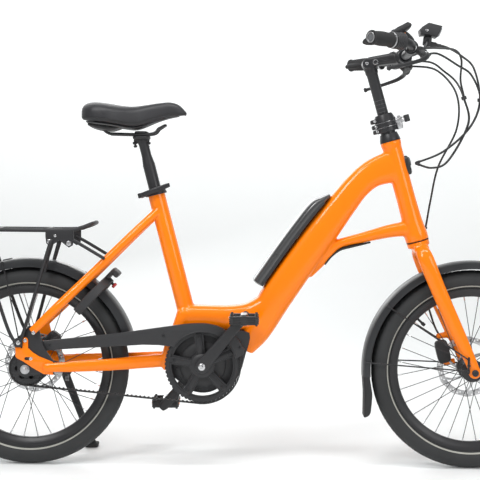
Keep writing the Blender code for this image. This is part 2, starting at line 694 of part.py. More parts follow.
def make_lock():
    lock = lock_matrix()
    opening = math.radians(112)
    arc_start, arc_angle = -math.pi + opening / 2, TURN - opening
    body = turned([(0.0590, -0.0120), (0.0740, -0.0120), (0.0740, 0.0110), (0.0590, 0.0110)],
                  lock, 24, arc_start, arc_angle)
    head = box((0.034, 0.060, 0.023), lock @ Matrix.Translation((0.084, 0, -0.0005)))
    groove = turned([(LOCK_RADIUS - 0.0046, -0.0010), (LOCK_RADIUS + 0.0046, -0.0010),
                     (LOCK_RADIUS + 0.0046, 0.02), (LOCK_RADIUS - 0.0046, 0.02)], lock, 40, phase=0.037)
    node("lock_body", "black_plastic", [body, head], cuts=[groove], solver="MANIFOLD")
    reach = math.radians(124)
    start = -math.pi + opening / 2 + math.radians(1)
    shackle = turned([(LOCK_RADIUS - 0.0040, 0.0), (LOCK_RADIUS + 0.0040, 0.0),
                      (LOCK_RADIUS + 0.0040, 0.0080), (LOCK_RADIUS - 0.0040, 0.0080)], lock, 16, start, reach)
    knob_angle = start + reach - 0.08
    knob_place = lock @ Matrix.Rotation(knob_angle, 4, "Z") @ Matrix.Translation((LOCK_RADIUS, 0, 0))
    knob = [disc(0.0036, 0.004, 0.024, knob_place, 10), disc(0.008, 0.016, 0.024, knob_place, 12)]
    node("lock_shackle", "steel", [shackle] + knob)


STAND_PIVOT = (0.070, 0.236, 0.0900)


def make_stand():
    x, z, y = STAND_PIVOT
    bracket = plate([(0.030, 0.232), (0.052, 0.220), (0.092, 0.222), (0.094, 0.2468), (0.060, 0.2468),
                     (0.040, 0.2440)], 0.0585, 0.0790)
    node("kickstand_bracket", "black_paint", [bracket, disc(0.0055, 0.078, 0.0985, lateral(x, z), 10)],
         cuts=[plate(DROPOUT_OUTLINE, DROPOUT_INNER - GAP, DROPOUT_INNER + DROPOUT_THICKNESS + GAP)])
    leg = sweep(
        [(x, z, y, 0.010, 0.007), (x + 0.008, 0.208, y + 0.006, 0.011, 0.007),
         (x + 0.058, 0.030, 0.176, 0.008, 0.007), (x + 0.063, 0.014, 0.183, 0.0085, 0.0085)],
        sides=10,
    )
    foot = sweep([(x + 0.046, 0.0065, 0.189, 0.0065, 0.020), (x + 0.078, 0.0065, 0.189, 0.0065, 0.020)],
                 sides=8, squareness=4)
    eye = disc(0.0125, 0.0795, 0.0965, lateral(x, z), 14)
    node("kickstand_leg", "black_paint", [leg, foot, eye], cuts=[disc(0.0060, 0.07, 0.11, lateral(x, z), 10)])


# ---------------------------------------------------------------- battery

def battery_line(offset):
    """The battery's middle line, this far off the down tube's upper side."""
    edge = [(0.6044, 0.4683), (0.662, 0.552), (0.705, 0.6115), (0.745, 0.662), (0.763, 0.683), (0.778, 0.700)]
    points = []
    for i, (x, z) in enumerate(edge):
        before, after = edge[max(i - 1, 0)], edge[min(i + 1, len(edge) - 1)]
        dx, dz = after[0] - before[0], after[1] - before[1]
        size = math.hypot(dx, dz)
        points.append((x - dz / size * offset, z + dx / size * offset))
    return points


def make_battery(main):
    half_heights = (0.0160, 0.0160, 0.0160, 0.0160, 0.0105, 0.0045)
    lifts = (0.0172, 0.0172, 0.0172, 0.0172, 0.0115, 0.0072)
    rows = []
    for i, (half, lift) in enumerate(zip(half_heights, lifts)):
        x, z = battery_line(lift)[i]
        rows.append((x, z, 0, half, 0.036 if i < 4 else 0.030))
    node("battery", "black_plastic", [sweep(rows, 16, 3, squareness=4)], cuts=[main_copy(main)])


# ---------------------------------------------------------------- seat

def make_seat():
    post_foot = 0.500
    shoulder, neck, top = ((z - post_foot) / SEAT_AXIS.z for z in (0.782, 0.800, 0.8385))
    node("seat_post", "black_paint", [lathe(
        [(POST_RADIUS, 0), (POST_RADIUS, shoulder), (POST_NECK_RADIUS, neck), (POST_NECK_RADIUS, top)],
        seat_matrix(post_foot), 16)])
    clamp = frame_along(at(0.2880, 0.8470), (0, 0, 1))
    node("saddle_clamp", "black_paint", [
        box((0.044, 0.056, 0.0100), clamp @ Matrix.Translation((0, 0, 0.0020))),
        disc(0.0135, -0.0048, 0.002, clamp, 14),
    ])
    rails = [(0.192, 0.8700, -0.034), (0.204, 0.8600, -0.028), (0.222, 0.8578, -0.022),
             (0.312, 0.8578, -0.022), (0.334, 0.8720, -0.018), (0.348, 0.8800, -0.009), (0.350, 0.8805, 0.0)]
    both = rails + [(x, z, -y) for x, z, y in reversed(rails[:-1])]
    node("saddle_rails", "steel", [rod(both, 0.0035, 8, side=(0, 0, 1))])
    stations = [
        # x, half width, top, bottom
        (0.1385, 0.040, 0.926, 0.908), (0.150, 0.072, 0.936, 0.895), (0.175, 0.091, 0.939, 0.888),
        (0.205, 0.093, 0.936, 0.882), (0.235, 0.080, 0.931, 0.8765), (0.265, 0.060, 0.930, 0.8740),
        (0.295, 0.042, 0.933, 0.880), (0.330, 0.031, 0.939, 0.890), (0.362, 0.025, 0.940, 0.896),
        (0.392, 0.021, 0.928, 0.901), (0.406, 0.012, 0.914, 0.904),
    ]
    node("saddle_cushion", "vinyl", [loft(stations, 14, 2.6)])
    shell = [(x, half - 0.006, bottom - 0.0008, bottom - 0.0088) for x, half, _, bottom in stations[1:-1]]
    node("saddle_shell", "black_plastic", [loft(shell, 10, 3.0)])
    make_seat_lever()


def make_seat_lever():
    collar = seat_matrix(SEAT_TOP[1] - 0.006)
    pivot = Vector((-0.040, -0.0140, 0))
    lever_path = [pivot, Vector((-0.024, -0.0330, 0.001)), Vector((0.004, -0.0375, 0.004)),
                  Vector((0.042, -0.0350, 0.008))]
    up = collar.to_3x3() @ Vector((0, 0, 1))
    rings = []
    for i, point in enumerate(lever_path):
        ahead = (lever_path[min(i + 1, 3)] - lever_path[max(i - 1, 0)]).normalized()
        out = Vector((ahead.y, -ahead.x, 0)).normalized()
        high = 0.0060 if i else 0.0045
        rings.append([collar @ (point + out * (0.0022 * a)) + up * (high * b)
                      for a, b in ((-1, -1), (1, -1), (1, 1), (-1, 1))])
    node("seat_clamp_lever", "black_paint", [
        rings_to_bmesh(rings, False),
        disc(0.0045, -0.0058, 0.0058, collar @ Matrix.Translation(pivot), 10),
    ])


# ---------------------------------------------------------------- fork and front

def make_fork():
    shapes = []
    for side in (-1, 1):
        shapes.append(sweep(
            [
                (1.0080, 0.5660, side * 0.030, 0.017, 0.014),
                (1.0160, 0.5450, side * 0.0500, 0.020, 0.0125),
                (1.0460, 0.4720, side * 0.0525, 0.0195, 0.0125),
                (1.0895, 0.3760, side * 0.0540, 0.0185, 0.0120),
                (1.1260, 0.2980, side * 0.0575, 0.0155, 0.0095),
                (1.1420, 0.2600, side * 0.0615, 0.0140, 0.0048),
            ],
            sides=10,
        ))
        shapes.append(disc(0.0155, side * 0.0570, side * 0.0655, FRONT, 16))
    shapes.append(sweep([(1.0080, 0.5690, -0.036, 0.0125, 0.019), (1.0080, 0.5690, 0.036, 0.0125, 0.019)],
                        sides=10, side=(1, 0, 0), squareness=3))
    steerer = frame_along(at(*HEAD_BOTTOM), HEAD_AXIS)
    shapes.append(lathe([(0.0290, -0.0150), (0.0290, -0.0010), (STEERER_RADIUS, 0.0),
                        (STEERER_RADIUS, 0.3150)], steerer, 20))
    node("fork", "orange", shapes, cuts=[
        disc(STEM_RADIUS + 0.0005, 0.060, 0.40, steerer, 16),
        disc(0.0063, -0.1, 0.1, FRONT, 12),
        lower_head_cut(),
    ])
    node("front_axle", "steel", [
        disc(0.006, -0.0750, 0.0750, FRONT, 12), disc(0.0090, -0.0750, -0.0668, FRONT, 12),
        disc(0.0090, 0.0668, 0.0750, FRONT, 12),
    ])
    node("front_fender", "black_plastic", [fender_ring(FRONT, 66, 184, 12)] + mudflap() + front_stays())
    # The caliper's inner half is thin, to let the spokes pass.
    caliper = lateral(1.0770, 0.2960, FRONT_ROTOR_Y)
    caliper_body = caliper @ Matrix.Translation((0, 0, 0.002)) @ Matrix.Rotation(-0.25, 4, "Z")
    node("front_caliper", "black_paint",
         [box((0.034, 0.060, 0.022), caliper_body),
          disc(0.012, 0.0128, 0.0160, caliper, 12)],
         cuts=[disc(ROTOR_RADIUS + 0.003, FRONT_ROTOR_Y - 0.0016, FRONT_ROTOR_Y + 0.0016, FRONT, 36)])
    clamp = head_matrix(0.8870)
    node("stem_clamp", "black_paint", [
        ring(STEERER_RADIUS + 0.0008, 0.0262, -0.020, 0.005, clamp, 16),
        ring(STEM_RADIUS + 0.0010, 0.0240, 0.0045, 0.026, clamp, 16),
        box((0.026, 0.026, 0.013), clamp @ Matrix.Translation((0.0355, 0, 0.001))),
    ])
    lever = clamp @ Matrix.Translation((0.0560, 0, 0.001))
    node("stem_clamp_lever", "black_plastic", [
        disc(0.0070, -0.009, 0.009, lever, 12),
        box((0.012, 0.062, 0.012), lever @ Matrix.Translation((0.004, 0.030, 0))),
    ])


def lower_head_cut():
    """Keeps the crown clear of the head tube's lower face."""
    return ring(STEERER_RADIUS + 0.0004, 0.060, -GAP * 2, 0.03, frame_along(at(*HEAD_BOTTOM), HEAD_AXIS), 24)


def mudflap():
    """The fender's flap: a thin back between two side walls that narrow to a rounded foot."""
    back = [(0.8622, 0.2520), (0.8632, 0.2350), (0.8650, 0.2150), (0.8664, 0.1980), (0.8662, 0.1336)]
    front = [(0.8735, 0.1345), (0.8795, 0.1390), (0.8830, 0.1470), (0.8867, 0.1890), (0.8845, 0.2080),
             (0.8815, 0.2250), (0.8795, 0.2450)]
    thin_back = back + [(x + 0.0020, z) for x, z in reversed(back)]
    return [plate(thin_back, -0.0312, 0.0312), plate(back + front, -0.0312, -0.0293),
            plate(back + front, 0.0293, 0.0312)]


def front_stays():
    """Two thin stays each side, from a short rail at the fork end to the fender."""
    shapes = []
    rail_x, rail_y, reach = 1.125, 0.0700, 0.272
    for side in (-1, 1):
        for angle, rail_z, rise in ((176, 0.2620, 0.002), (143, 0.2900, 0.020)):
            a = math.radians(angle)
            near = (rail_x, rail_z, side * rail_y)
            bend = (rail_x - 0.030, rail_z + rise, side * (rail_y - 0.0005))
            end = (WHEELBASE + reach * math.cos(a), AXLE_Z + reach * math.sin(a), side * 0.0315)
            shapes.append(rod([near, bend, end], 0.0022, 6))
        shapes.append(rod([(rail_x, 0.2560, side * rail_y), (rail_x, 0.2960, side * rail_y)], 0.0030, 6))
    return shapes


# ---------------------------------------------------------------- cockpit

BAR_HALF = [
    (BAR_X, BAR_Z, 0.000), (BAR_X, BAR_Z, 0.060), (0.958, 1.0580, 0.120), (BAR_X, 1.0620, 0.165),
    (0.950, 1.0660, 0.195), (0.930, 1.0690, 0.220), (0.8505, 1.0690, 0.2915),
]


def bar_tube(points, radius, sides):
    """A round piece that follows the handlebar."""
    return sweep([(*point, radius, radius) for point in points], sides, side=(0, 0, 1))


def bar_side(side):
    return [(x, z, side * y) for x, z, y in BAR_HALF]


def along_grip(side, start, end):
    """Two points on the straight part of the bar under the grip, as shares of its length."""
    a, b = Vector(BAR_HALF[-2]), Vector(BAR_HALF[-1])
    points = []
    for share in (start, end):
        x, z, y = a + (b - a) * share
        points.append((x, z, side * y))
    return points


def make_cockpit():
    post_foot = 0.690
    post = head_matrix(post_foot)
    collar, shoulder, top = ((z - post_foot) / HEAD_AXIS.z for z in (1.012, 1.016, 1.038))
    node("stem_post", "black_paint",
         [lathe([(STEM_RADIUS, 0), (STEM_RADIUS, collar), (0.0165, shoulder), (0.0165, top)], post, 16)])
    bar_axis = lateral(BAR_X, BAR_Z)
    arm = [(0.874, 1.0455, 0, 0.0120, 0.0180), (0.900, 1.0500, 0, 0.0130, 0.0190),
           (0.938, 1.0560, 0, 0.0140, 0.0200)]
    node("stem_head", "black_paint", [
        sweep(arm, sides=10, squareness=3),
        disc(0.0215, -0.022, 0.022, bar_axis, 16),
    ], cuts=[disc(0.0142, -0.1, 0.1, bar_axis, 16), disc(0.0168, -0.1, top + 2 * GAP, post, 20)])
    centre = []
    for x, z, y in bar_side(-1)[::-1] + bar_side(1)[1:]:
        radius = 0.0138 if abs(y) < 0.03 else BAR_RADIUS
        centre.append((x, z, y, radius, radius))
    node("handlebar", "black_paint", [sweep(centre, 10, side=(0, 0, 1))])
    for side, name in ((-1, "right"), (1, "left")):
        make_grip(side, name)
        make_brake(side, name)
    inner, outer = along_grip(-1, 0.02, 0.335)
    node("shifter_sleeve", "black_plastic",
         [sweep([(*inner, 0.0205, 0.0205), (*outer, 0.0190, 0.0190)], 14, side=(0, 0, 1))],
         cuts=[bar_tube(along_grip(-1, -0.3, 1.2), BAR_RADIUS + 2 * GAP, 10)])


def make_grip(side, name):
    start = 0.36 if side < 0 else 0.02
    inner, outer = along_grip(side, start, 1.05)
    waist, _ = along_grip(side, 0.62, 0.9)
    node("grip_" + name, "rubber", [
        sweep([(*inner, 0.0158, 0.0158), (*waist, GRIP_RADIUS, GRIP_RADIUS), (*outer, 0.0165, 0.0165)],
              14, side=(0, 0, 1)),
        paddle(side),
    ], cuts=[bar_tube(along_grip(side, -0.3, 1.015), BAR_RADIUS + 2 * GAP, 12)], solver="MANIFOLD")


def paddle(side):
    """The flat palm support behind a grip: a rounded pad sloping gently down to the rear."""
    inner, outer = (at(*point) for point in along_grip(side, 0.60, 1.03))
    along = (outer - inner).normalized()
    back = Vector((-0.72, side * -0.60, -0.22))
    back = (back - back.dot(along) * along).normalized()
    place_at = frame_along((inner + outer) / 2 + back * 0.020, along.cross(back), along)
    outline = []
    for i in range(14):
        angle = TURN * (i + 0.5) / 14
        c, s = math.cos(angle), math.sin(angle)
        reach = (abs(c) ** 3 + abs(s) ** 3) ** (-1 / 3)
        outline.append((0.029 * reach * c, 0.025 * reach * s))
    faces = [[place_at @ Vector((x, y, z)) for x, y in outline] for z in (-0.0045, 0.0045)]
    return rings_to_bmesh(faces, False)


def make_brake(side, name):
    """The lever's clamp and cylinder on the bar, and the lever itself, with a ball at its tip."""
    x, z, y = BAR_HALF[3]
    clamp_edges = sorted((side * (y - 0.007), side * (y + 0.005)))
    bracket = [(x + 0.014, z - 0.008, side * y, 0.009, 0.006),
               (x + 0.032, z - 0.018, side * (y + 0.006), 0.010, 0.008),
               (x + 0.032, z - 0.022, side * (y + 0.026), 0.009, 0.008)]
    cylinder = [(x + 0.030, z - 0.018, side * (y + 0.008)), (x + 0.036, z - 0.014, side * (y - 0.052))]
    node("brake_mount_" + name, "black_paint", [
        ring(BAR_RADIUS + 0.0016, 0.0175, *clamp_edges, lateral(x, z), 16),
        sweep(bracket, 8, side=(0, 0, 1)),
        rod(cylinder, 0.0085, 10, side=(0, 0, 1)),
    ], cuts=[bar_tube(bar_side(side)[2:6], BAR_RADIUS + 4 * GAP, 12)])
    px, pz, py = x + 0.032, z - 0.022, y + 0.038
    blade = [(px, pz, side * py, 0.0055, 0.0070),
             (px - 0.002, pz - 0.006, side * (py + 0.016), 0.0055, 0.0060),
             (px - 0.040, pz - 0.024, side * (py + 0.050), 0.0050, 0.0035),
             (px - 0.098, pz - 0.040, side * (py + 0.084), 0.0050, 0.0035)]
    tip = frame_along(at(px - 0.100, pz - 0.0405, side * (py + 0.0855)), (0, 0, 1))
    node("brake_lever_" + name, "black_paint", [
        sweep(blade, 8, side=(0.6, side * 0.7, 0)),
        disc(0.0080, -0.006, 0.006, frame_along(at(px, pz, side * py), (0, 0, 1)), 10),
        lathe([(0.003, -0.007), (0.0072, -0.003), (0.0072, 0.003), (0.003, 0.007)], tip, 8),
    ])


def make_instruments():
    bar_axis = lateral(BAR_X, BAR_Z)
    bar_bore = disc(0.0146, -0.1, 0.1, bar_axis, 16)
    screen = frame_along(at(0.945, 1.1310), (-0.36, 0, 0.933), (0.933, 0, 0.36))
    upright = frame_along(at(0.972, 1.0800, 0.032), (0.2, 0, 0.98))
    crossbar = frame_along(at(0.976, 1.0860, 0.016), (0.2, 0, 0.98))
    neck = [(0.950, 1.122, 0, 0.008, 0.014), (0.978, 1.098, 0, 0.007, 0.012), (0.976, 1.080, 0, 0.006, 0.012)]
    node("display", "black_plastic", [
        box((0.062, 0.086, 0.018), screen),
        sweep(neck, 8),
        ring(0.0148, 0.0190, 0.026, 0.038, bar_axis, 16),
        box((0.014, 0.012, 0.026), upright),
        box((0.012, 0.046, 0.008), crossbar),
    ], cuts=[bar_bore])
    lamp = [(0.997, 1.1280, 0, 0.0120, 0.0170), (1.012, 1.1240, 0, 0.0185, 0.0210),
            (1.051, 1.1145, 0, 0.0195, 0.0225)]
    visor = frame_along(at(1.0500, 1.1345), (0.97, 0, -0.24), (0.24, 0, 0.97))
    node("headlight", "black_plastic", [
        sweep(lamp, 16, squareness=4),
        box((0.0035, 0.0440, 0.0230), visor),
        rod([(1.018, 1.108, 0), (1.014, 1.082, -0.012), (0.990, 1.068, -0.030)], 0.0050, 8),
        box((0.030, 0.008, 0.010), frame_along(at(0.980, 1.0650, -0.0320), (0, 0, 1))),
        ring(0.0148, 0.0190, -0.038, -0.026, bar_axis, 16),
    ], cuts=[disc(0.0146, -0.1, 0.1, bar_axis, 16)])
    y = 0.1250
    pad_place = frame_along(at(0.946, 1.0760, y), (-0.3, 0, 0.95))
    node("remote_pad", "black_plastic", [
        ring(BAR_RADIUS + 0.0014, 0.0165, y - 0.009, y + 0.009, lateral(0.958, 1.0585), 16),
        box((0.030, 0.034, 0.012), pad_place),
    ], cuts=[bar_tube(bar_side(1)[1:4], BAR_RADIUS + 0.0014, 12)])
    node("remote_button", "rubber", [
        box((0.016, 0.022, 0.0040), pad_place @ Matrix.Translation((0, 0, 0.0095))),
    ])


# ---------------------------------------------------------------- cables

TIE_HIGH, TIE_LOW = (1.156, 0.950), (1.078, 0.796)
CABLE_STARTS = (
    # Where each cable leaves the bar, and its first bend: right brake, shifter, display, left remote.
    ((1.0035, 1.0500, -0.1120), (1.060, 1.0600, -0.085), (1.120, 1.0250, -0.035), -0.0045),
    ((0.960, 1.0480, -0.262), (1.060, 1.0500, -0.170), (1.132, 1.0080, -0.055), -0.0015),
    ((0.983, 1.1080, 0.034), (1.090, 1.0950, 0.034), (1.148, 1.0300, 0.010), 0.0015),
    ((0.975, 1.0600, 0.112), (1.060, 1.0800, 0.085), (1.128, 1.0300, 0.035), 0.0045),
)


def cable_route(start, bend, fall, y):
    return [start, bend, fall, (TIE_HIGH[0], TIE_HIGH[1], y), (1.124, 0.868, y), (TIE_LOW[0], TIE_LOW[1], y),
            (1.036, 0.776, y), (0.9925, 0.7880, y * 0.6)]


def make_cables():
    shapes = [rod(cable_route(*row), 0.0026, 6, 3) for row in CABLE_STARTS]
    along_high = (at(1.124, 0.868) - at(*TIE_HIGH)).normalized()
    along_low = (at(1.036, 0.776) - at(*TIE_LOW)).normalized()
    shapes.append(disc(0.0085, -0.004, 0.004, frame_along(at(*TIE_HIGH), along_high), 12))
    shapes.append(disc(0.0085, -0.004, 0.004, frame_along(at(*TIE_LOW), along_low), 12))
    node("cable_loom", "rubber", shapes)
    hose = [(1.0035, 1.0480, 0.112), (1.058, 1.0350, 0.090), (1.104, 0.9700, 0.050), (1.104, 0.8800, 0.035),
            (1.058, 0.7800, 0.040), (1.040, 0.6900, 0.048), (1.030, 0.6200, 0.060), (1.0180, 0.5600, 0.0720),
            (1.030, 0.4600, 0.0720), (1.0550, 0.3700, 0.0700), (1.0710, 0.3360, 0.0640)]
    node("fork_hose", "rubber", [rod(hose, 0.0026, 6, 3)])


main_frame = make_frame()
make_motor()
make_drive()
make_wheels()
make_rear_trim()
make_rack()
make_lock()
make_stand()
make_battery(main_frame)
make_seat()
make_fork()
make_cockpit()
make_instruments()
make_cables()
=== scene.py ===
"""Looks of the compact electric bicycle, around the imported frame.

Points are (x, z, y): x ahead of the rear axle, z above the ground, y to the rider's left, in metres.
"""

import json
import math

import bmesh
import bpy
from mathutils import Matrix, Vector

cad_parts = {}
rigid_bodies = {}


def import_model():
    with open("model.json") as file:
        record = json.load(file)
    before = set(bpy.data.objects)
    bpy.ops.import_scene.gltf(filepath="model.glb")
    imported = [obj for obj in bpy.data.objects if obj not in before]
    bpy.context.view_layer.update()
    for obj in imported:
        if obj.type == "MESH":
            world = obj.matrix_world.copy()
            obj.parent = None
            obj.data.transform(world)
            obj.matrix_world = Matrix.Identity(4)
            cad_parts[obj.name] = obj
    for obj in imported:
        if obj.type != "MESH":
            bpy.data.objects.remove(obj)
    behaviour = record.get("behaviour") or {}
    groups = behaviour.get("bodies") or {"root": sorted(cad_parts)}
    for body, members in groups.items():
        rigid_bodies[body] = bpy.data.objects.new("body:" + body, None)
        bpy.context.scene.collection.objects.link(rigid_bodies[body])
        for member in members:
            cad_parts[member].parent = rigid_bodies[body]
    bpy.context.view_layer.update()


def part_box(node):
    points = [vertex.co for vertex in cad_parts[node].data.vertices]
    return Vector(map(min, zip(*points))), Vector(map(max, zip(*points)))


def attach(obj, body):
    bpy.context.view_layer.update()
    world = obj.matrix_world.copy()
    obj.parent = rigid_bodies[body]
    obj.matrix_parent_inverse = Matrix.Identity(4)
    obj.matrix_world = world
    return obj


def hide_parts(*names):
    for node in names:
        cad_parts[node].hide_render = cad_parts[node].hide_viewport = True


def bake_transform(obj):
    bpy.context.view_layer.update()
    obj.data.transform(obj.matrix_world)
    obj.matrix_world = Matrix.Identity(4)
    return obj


for old in list(bpy.data.objects):
    bpy.data.objects.remove(old)
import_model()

TURN = 2 * math.pi


def middle(node):
    low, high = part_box(node)
    return (low + high) / 2


REAR_HUB = middle("rear_rim")
FRONT_HUB = middle("front_rim")
CRANK_POINT = middle("belt_ring")
WHEELBASE = FRONT_HUB.x - REAR_HUB.x
AXLE_Z = REAR_HUB.z
CRANK_X, CRANK_Z = CRANK_POINT.x - REAR_HUB.x, CRANK_POINT.z
CRANK_LENGTH = 0.168
CRANK_ANGLE = math.radians(50.3)
BELT_Y = CRANK_POINT.y
RIM_RADIUS = 0.2082
STRIPE_RADIUS, STRIPE_HALF_WIDTH = 0.2165, 0.0017
RING_RADIUS, PULLEY_RADIUS, BELT_TEETH_PITCH = 0.096, 0.042, 0.011
DROPOUT_INNER, DROPOUT_THICKNESS = 0.0655, 0.007
ROTOR_RADIUS = 0.08
BAR_RADIUS = 0.0111


def at(x, z, y=0.0):
    return Vector((REAR_HUB.x + x, y, z))


def shift(x, y, z):
    return Matrix.Translation((x, y, z))


def spin(angle, axis="Z"):
    return Matrix.Rotation(angle, 4, axis)


def polar(radius, angle, height=0.0):
    """A point at this angle round local Z."""
    return Vector((radius * math.cos(angle), radius * math.sin(angle), height))


def around(radius, angle, x=0.0, z=0.0):
    """The flat point at this angle round (x, z)."""
    return (x + radius * math.cos(angle), z + radius * math.sin(angle))


def new_object(name, data):
    obj = bpy.data.objects.new(name, data)
    bpy.context.scene.collection.objects.link(obj)
    return obj


# ---------------------------------------------------------------- materials

def add_node(tree, kind, values=None, links=None, **settings):
    """A new shader node with these settings, input values and incoming links."""
    node = tree.nodes.new("ShaderNode" + kind)
    for key, value in settings.items():
        setattr(node, key, value)
    for key, value in (values or {}).items():
        node.inputs[key].default_value = value
    for key, source in (links or {}).items():
        tree.links.new(source, node.inputs[key])
    return node


def look(name, slot, colour, roughness, metallic=0.0, grain=500.0, bump=0.06, mottle=0.08, coat=0.0,
         wear=0.0, pattern=None, specular=0.5):
    """A procedural finish: colour that varies a little, a fine surface grain and uneven gloss."""
    made = bpy.data.materials.new(name)
    made.use_nodes = True
    tree = made.node_tree
    shader = tree.nodes["Principled BSDF"]
    shader.inputs["Metallic"].default_value = metallic
    shader.inputs["Coat Weight"].default_value = coat
    shader.inputs["Coat Roughness"].default_value = 0.06
    shader.inputs["Specular IOR Level"].default_value = specular
    place = add_node(tree, "TexCoord").outputs["Object"]

    def noise(scale, detail=3.0):
        values = {"Scale": scale, "Detail": detail}
        return add_node(tree, "TexNoise", values, {"Vector": place}).outputs["Fac"]

    dark = (*[c * (1 - mottle) for c in colour], 1)
    pale = (*[min(c * (1 + mottle) + 0.02 * mottle, 1.0) for c in colour], 1)
    colours = add_node(tree, "Mix", {"A": dark, "B": pale}, {"Factor": noise(7.0)}, data_type="RGBA")
    spread = {"From Min": 0.25, "From Max": 0.75, "To Min": max(roughness - 0.06, 0.04),
              "To Max": min(roughness + 0.06, 1.0)}
    gloss = add_node(tree, "MapRange", spread, {"Value": noise(23.0)})
    tree.links.new(gloss.outputs["Result"], shader.inputs["Roughness"])
    if pattern == "leather":
        cells = add_node(tree, "TexVoronoi", {"Scale": grain}, {"Vector": place}, feature="DISTANCE_TO_EDGE")
        height = cells.outputs["Distance"]
    elif pattern == "brushed":
        stretch = add_node(tree, "Mapping", {"Scale": (1.0, 12.0, 1.0)}, {"Vector": place})
        lines = add_node(tree, "TexNoise", {"Scale": grain}, {"Vector": stretch.outputs["Vector"]})
        height = lines.outputs["Fac"]
    else:
        height = noise(grain, 2.0)
    bumps = add_node(tree, "Bump", {"Strength": bump, "Distance": 0.0004}, {"Height": height})
    tree.links.new(bumps.outputs["Normal"], shader.inputs["Normal"])
    last = colours.outputs["Result"]
    if wear:
        pointed = add_node(tree, "NewGeometry").outputs["Pointiness"]
        edges = add_node(tree, "MapRange", {"From Min": 0.53, "From Max": 0.62, "To Max": wear},
                         {"Value": pointed})
        rubbed = (*[min(c * 2.5 + 0.06, 1) for c in colour], 1)
        worn = add_node(tree, "Mix", {"B": rubbed}, {"Factor": edges.outputs["Result"], "A": last},
                        data_type="RGBA")
        last = worn.outputs["Result"]
    tree.links.new(last, shader.inputs["Base Color"])
    made["slot"] = slot
    return made


def striped_tyre(name, hub):
    """Tyre rubber with the pale reflective ring on each side wall."""
    made = look(name, "tyre", (0.022, 0.023, 0.024), 0.72, grain=900, bump=0.18, mottle=0.15)
    tree = made.node_tree
    shader = tree.nodes["Principled BSDF"]
    place = add_node(tree, "TexCoord").outputs["Object"]
    from_hub = add_node(tree, "VectorMath", {1: hub}, {0: place}, operation="SUBTRACT")
    flat = add_node(tree, "VectorMath", {1: (1, 0, 1)}, {0: from_hub.outputs[0]}, operation="MULTIPLY")
    length = add_node(tree, "VectorMath", None, {0: flat.outputs[0]}, operation="LENGTH")
    near = add_node(tree, "Math", {1: STRIPE_RADIUS, 2: STRIPE_HALF_WIDTH}, {0: length.outputs["Value"]},
                    operation="COMPARE")
    plain = shader.inputs["Base Color"].links[0].from_socket
    mix = add_node(tree, "Mix", {"B": (0.4, 0.4, 0.36, 1)}, {"Factor": near.outputs[0], "A": plain},
                   data_type="RGBA")
    tree.links.new(mix.outputs["Result"], shader.inputs["Base Color"])
    return made


ORANGE = look("orange_gloss", "orange_paint", (1.0, 0.215, 0.001), 0.34, grain=900, bump=0.015, mottle=0.03,
              coat=0.6, specular=0.1)
BLACK = look("black_anodised", "black_metal", (0.018, 0.018, 0.02), 0.38, grain=1400, bump=0.05, mottle=0.1,
             wear=0.1, specular=0.45)
SATIN = look("black_satin_coat", "black_metal", (0.016, 0.016, 0.018), 0.5, grain=1100, bump=0.1,
             mottle=0.1, wear=0.08)
PLASTIC = look("black_plastic_fine", "black_plastic", (0.022, 0.022, 0.024), 0.52, grain=1600, bump=0.1,
               mottle=0.1, wear=0.05)
SMOOTH_PLASTIC = look("black_plastic_smooth", "black_plastic", (0.018, 0.019, 0.021), 0.34, grain=700,
                      bump=0.03, mottle=0.08)
GLOSSY_PLASTIC = look("black_plastic_glossy", "black_plastic", (0.04, 0.041, 0.043), 0.3, grain=500,
                      bump=0.02, mottle=0.06, coat=0.8)
RUBBER = look("soft_rubber", "rubber", (0.02, 0.02, 0.021), 0.8, grain=1300, bump=0.16, mottle=0.12)
HOSE = look("cable_jacket", "rubber", (0.014, 0.014, 0.015), 0.42, grain=500, bump=0.03, mottle=0.08)
STEEL = look("brushed_steel", "steel", (0.54, 0.54, 0.55), 0.32, 1.0, grain=240, bump=0.05, mottle=0.06,
             pattern="brushed")
SILVER = look("silver_fastener", "steel", (0.62, 0.62, 0.63), 0.26, 1.0, grain=400, bump=0.03, mottle=0.05)
DARK_STEEL = look("spoke_black", "black_metal", (0.035, 0.035, 0.037), 0.35, 0.6, grain=600, bump=0.03)
LEATHER = look("saddle_leather", "saddle_cover", (0.02, 0.02, 0.023), 0.46, grain=900, bump=0.3,
               mottle=0.1, pattern="leather", wear=0.05)
GLASS = look("dark_glass", "black_plastic", (0.008, 0.009, 0.011), 0.08, grain=60, bump=0.0, mottle=0.1,
             coat=0.6)
LENS = look("lamp_lens", "black_plastic", (0.75, 0.78, 0.8), 0.1, grain=160, bump=0.25, mottle=0.04, coat=0.8)
REFLECTOR = look("amber_reflector", "black_plastic", (0.85, 0.22, 0.02), 0.18, grain=380, bump=0.9,
                 mottle=0.08, coat=0.8, pattern="leather")
RED = look("red_reflector", "black_plastic", (0.55, 0.015, 0.015), 0.18, grain=380, bump=0.9, mottle=0.08,
           coat=0.8, pattern="leather")
GREY = look("grey_plastic", "black_plastic", (0.12, 0.125, 0.13), 0.5, grain=900, bump=0.08)


# ---------------------------------------------------------------- shapes

def spline(rows, steps):
    """Catmull-Rom curve through rows of numbers."""
    result = []
    last = len(rows) - 1
    for i in range(last):
        a, b, c, d = (rows[max(i - 1, 0)], rows[i], rows[i + 1], rows[min(i + 2, last)])
        for step in range(steps):
            t = step / steps
            result.append(tuple(
                0.5 * (2 * q + (r - p) * t + (2 * p - 5 * q + 4 * r - s) * t * t
                       + (3 * q - p - 3 * r + s) * t**3) for p, q, r, s in zip(a, b, c, d)
            ))
    result.append(tuple(rows[-1]))
    return result


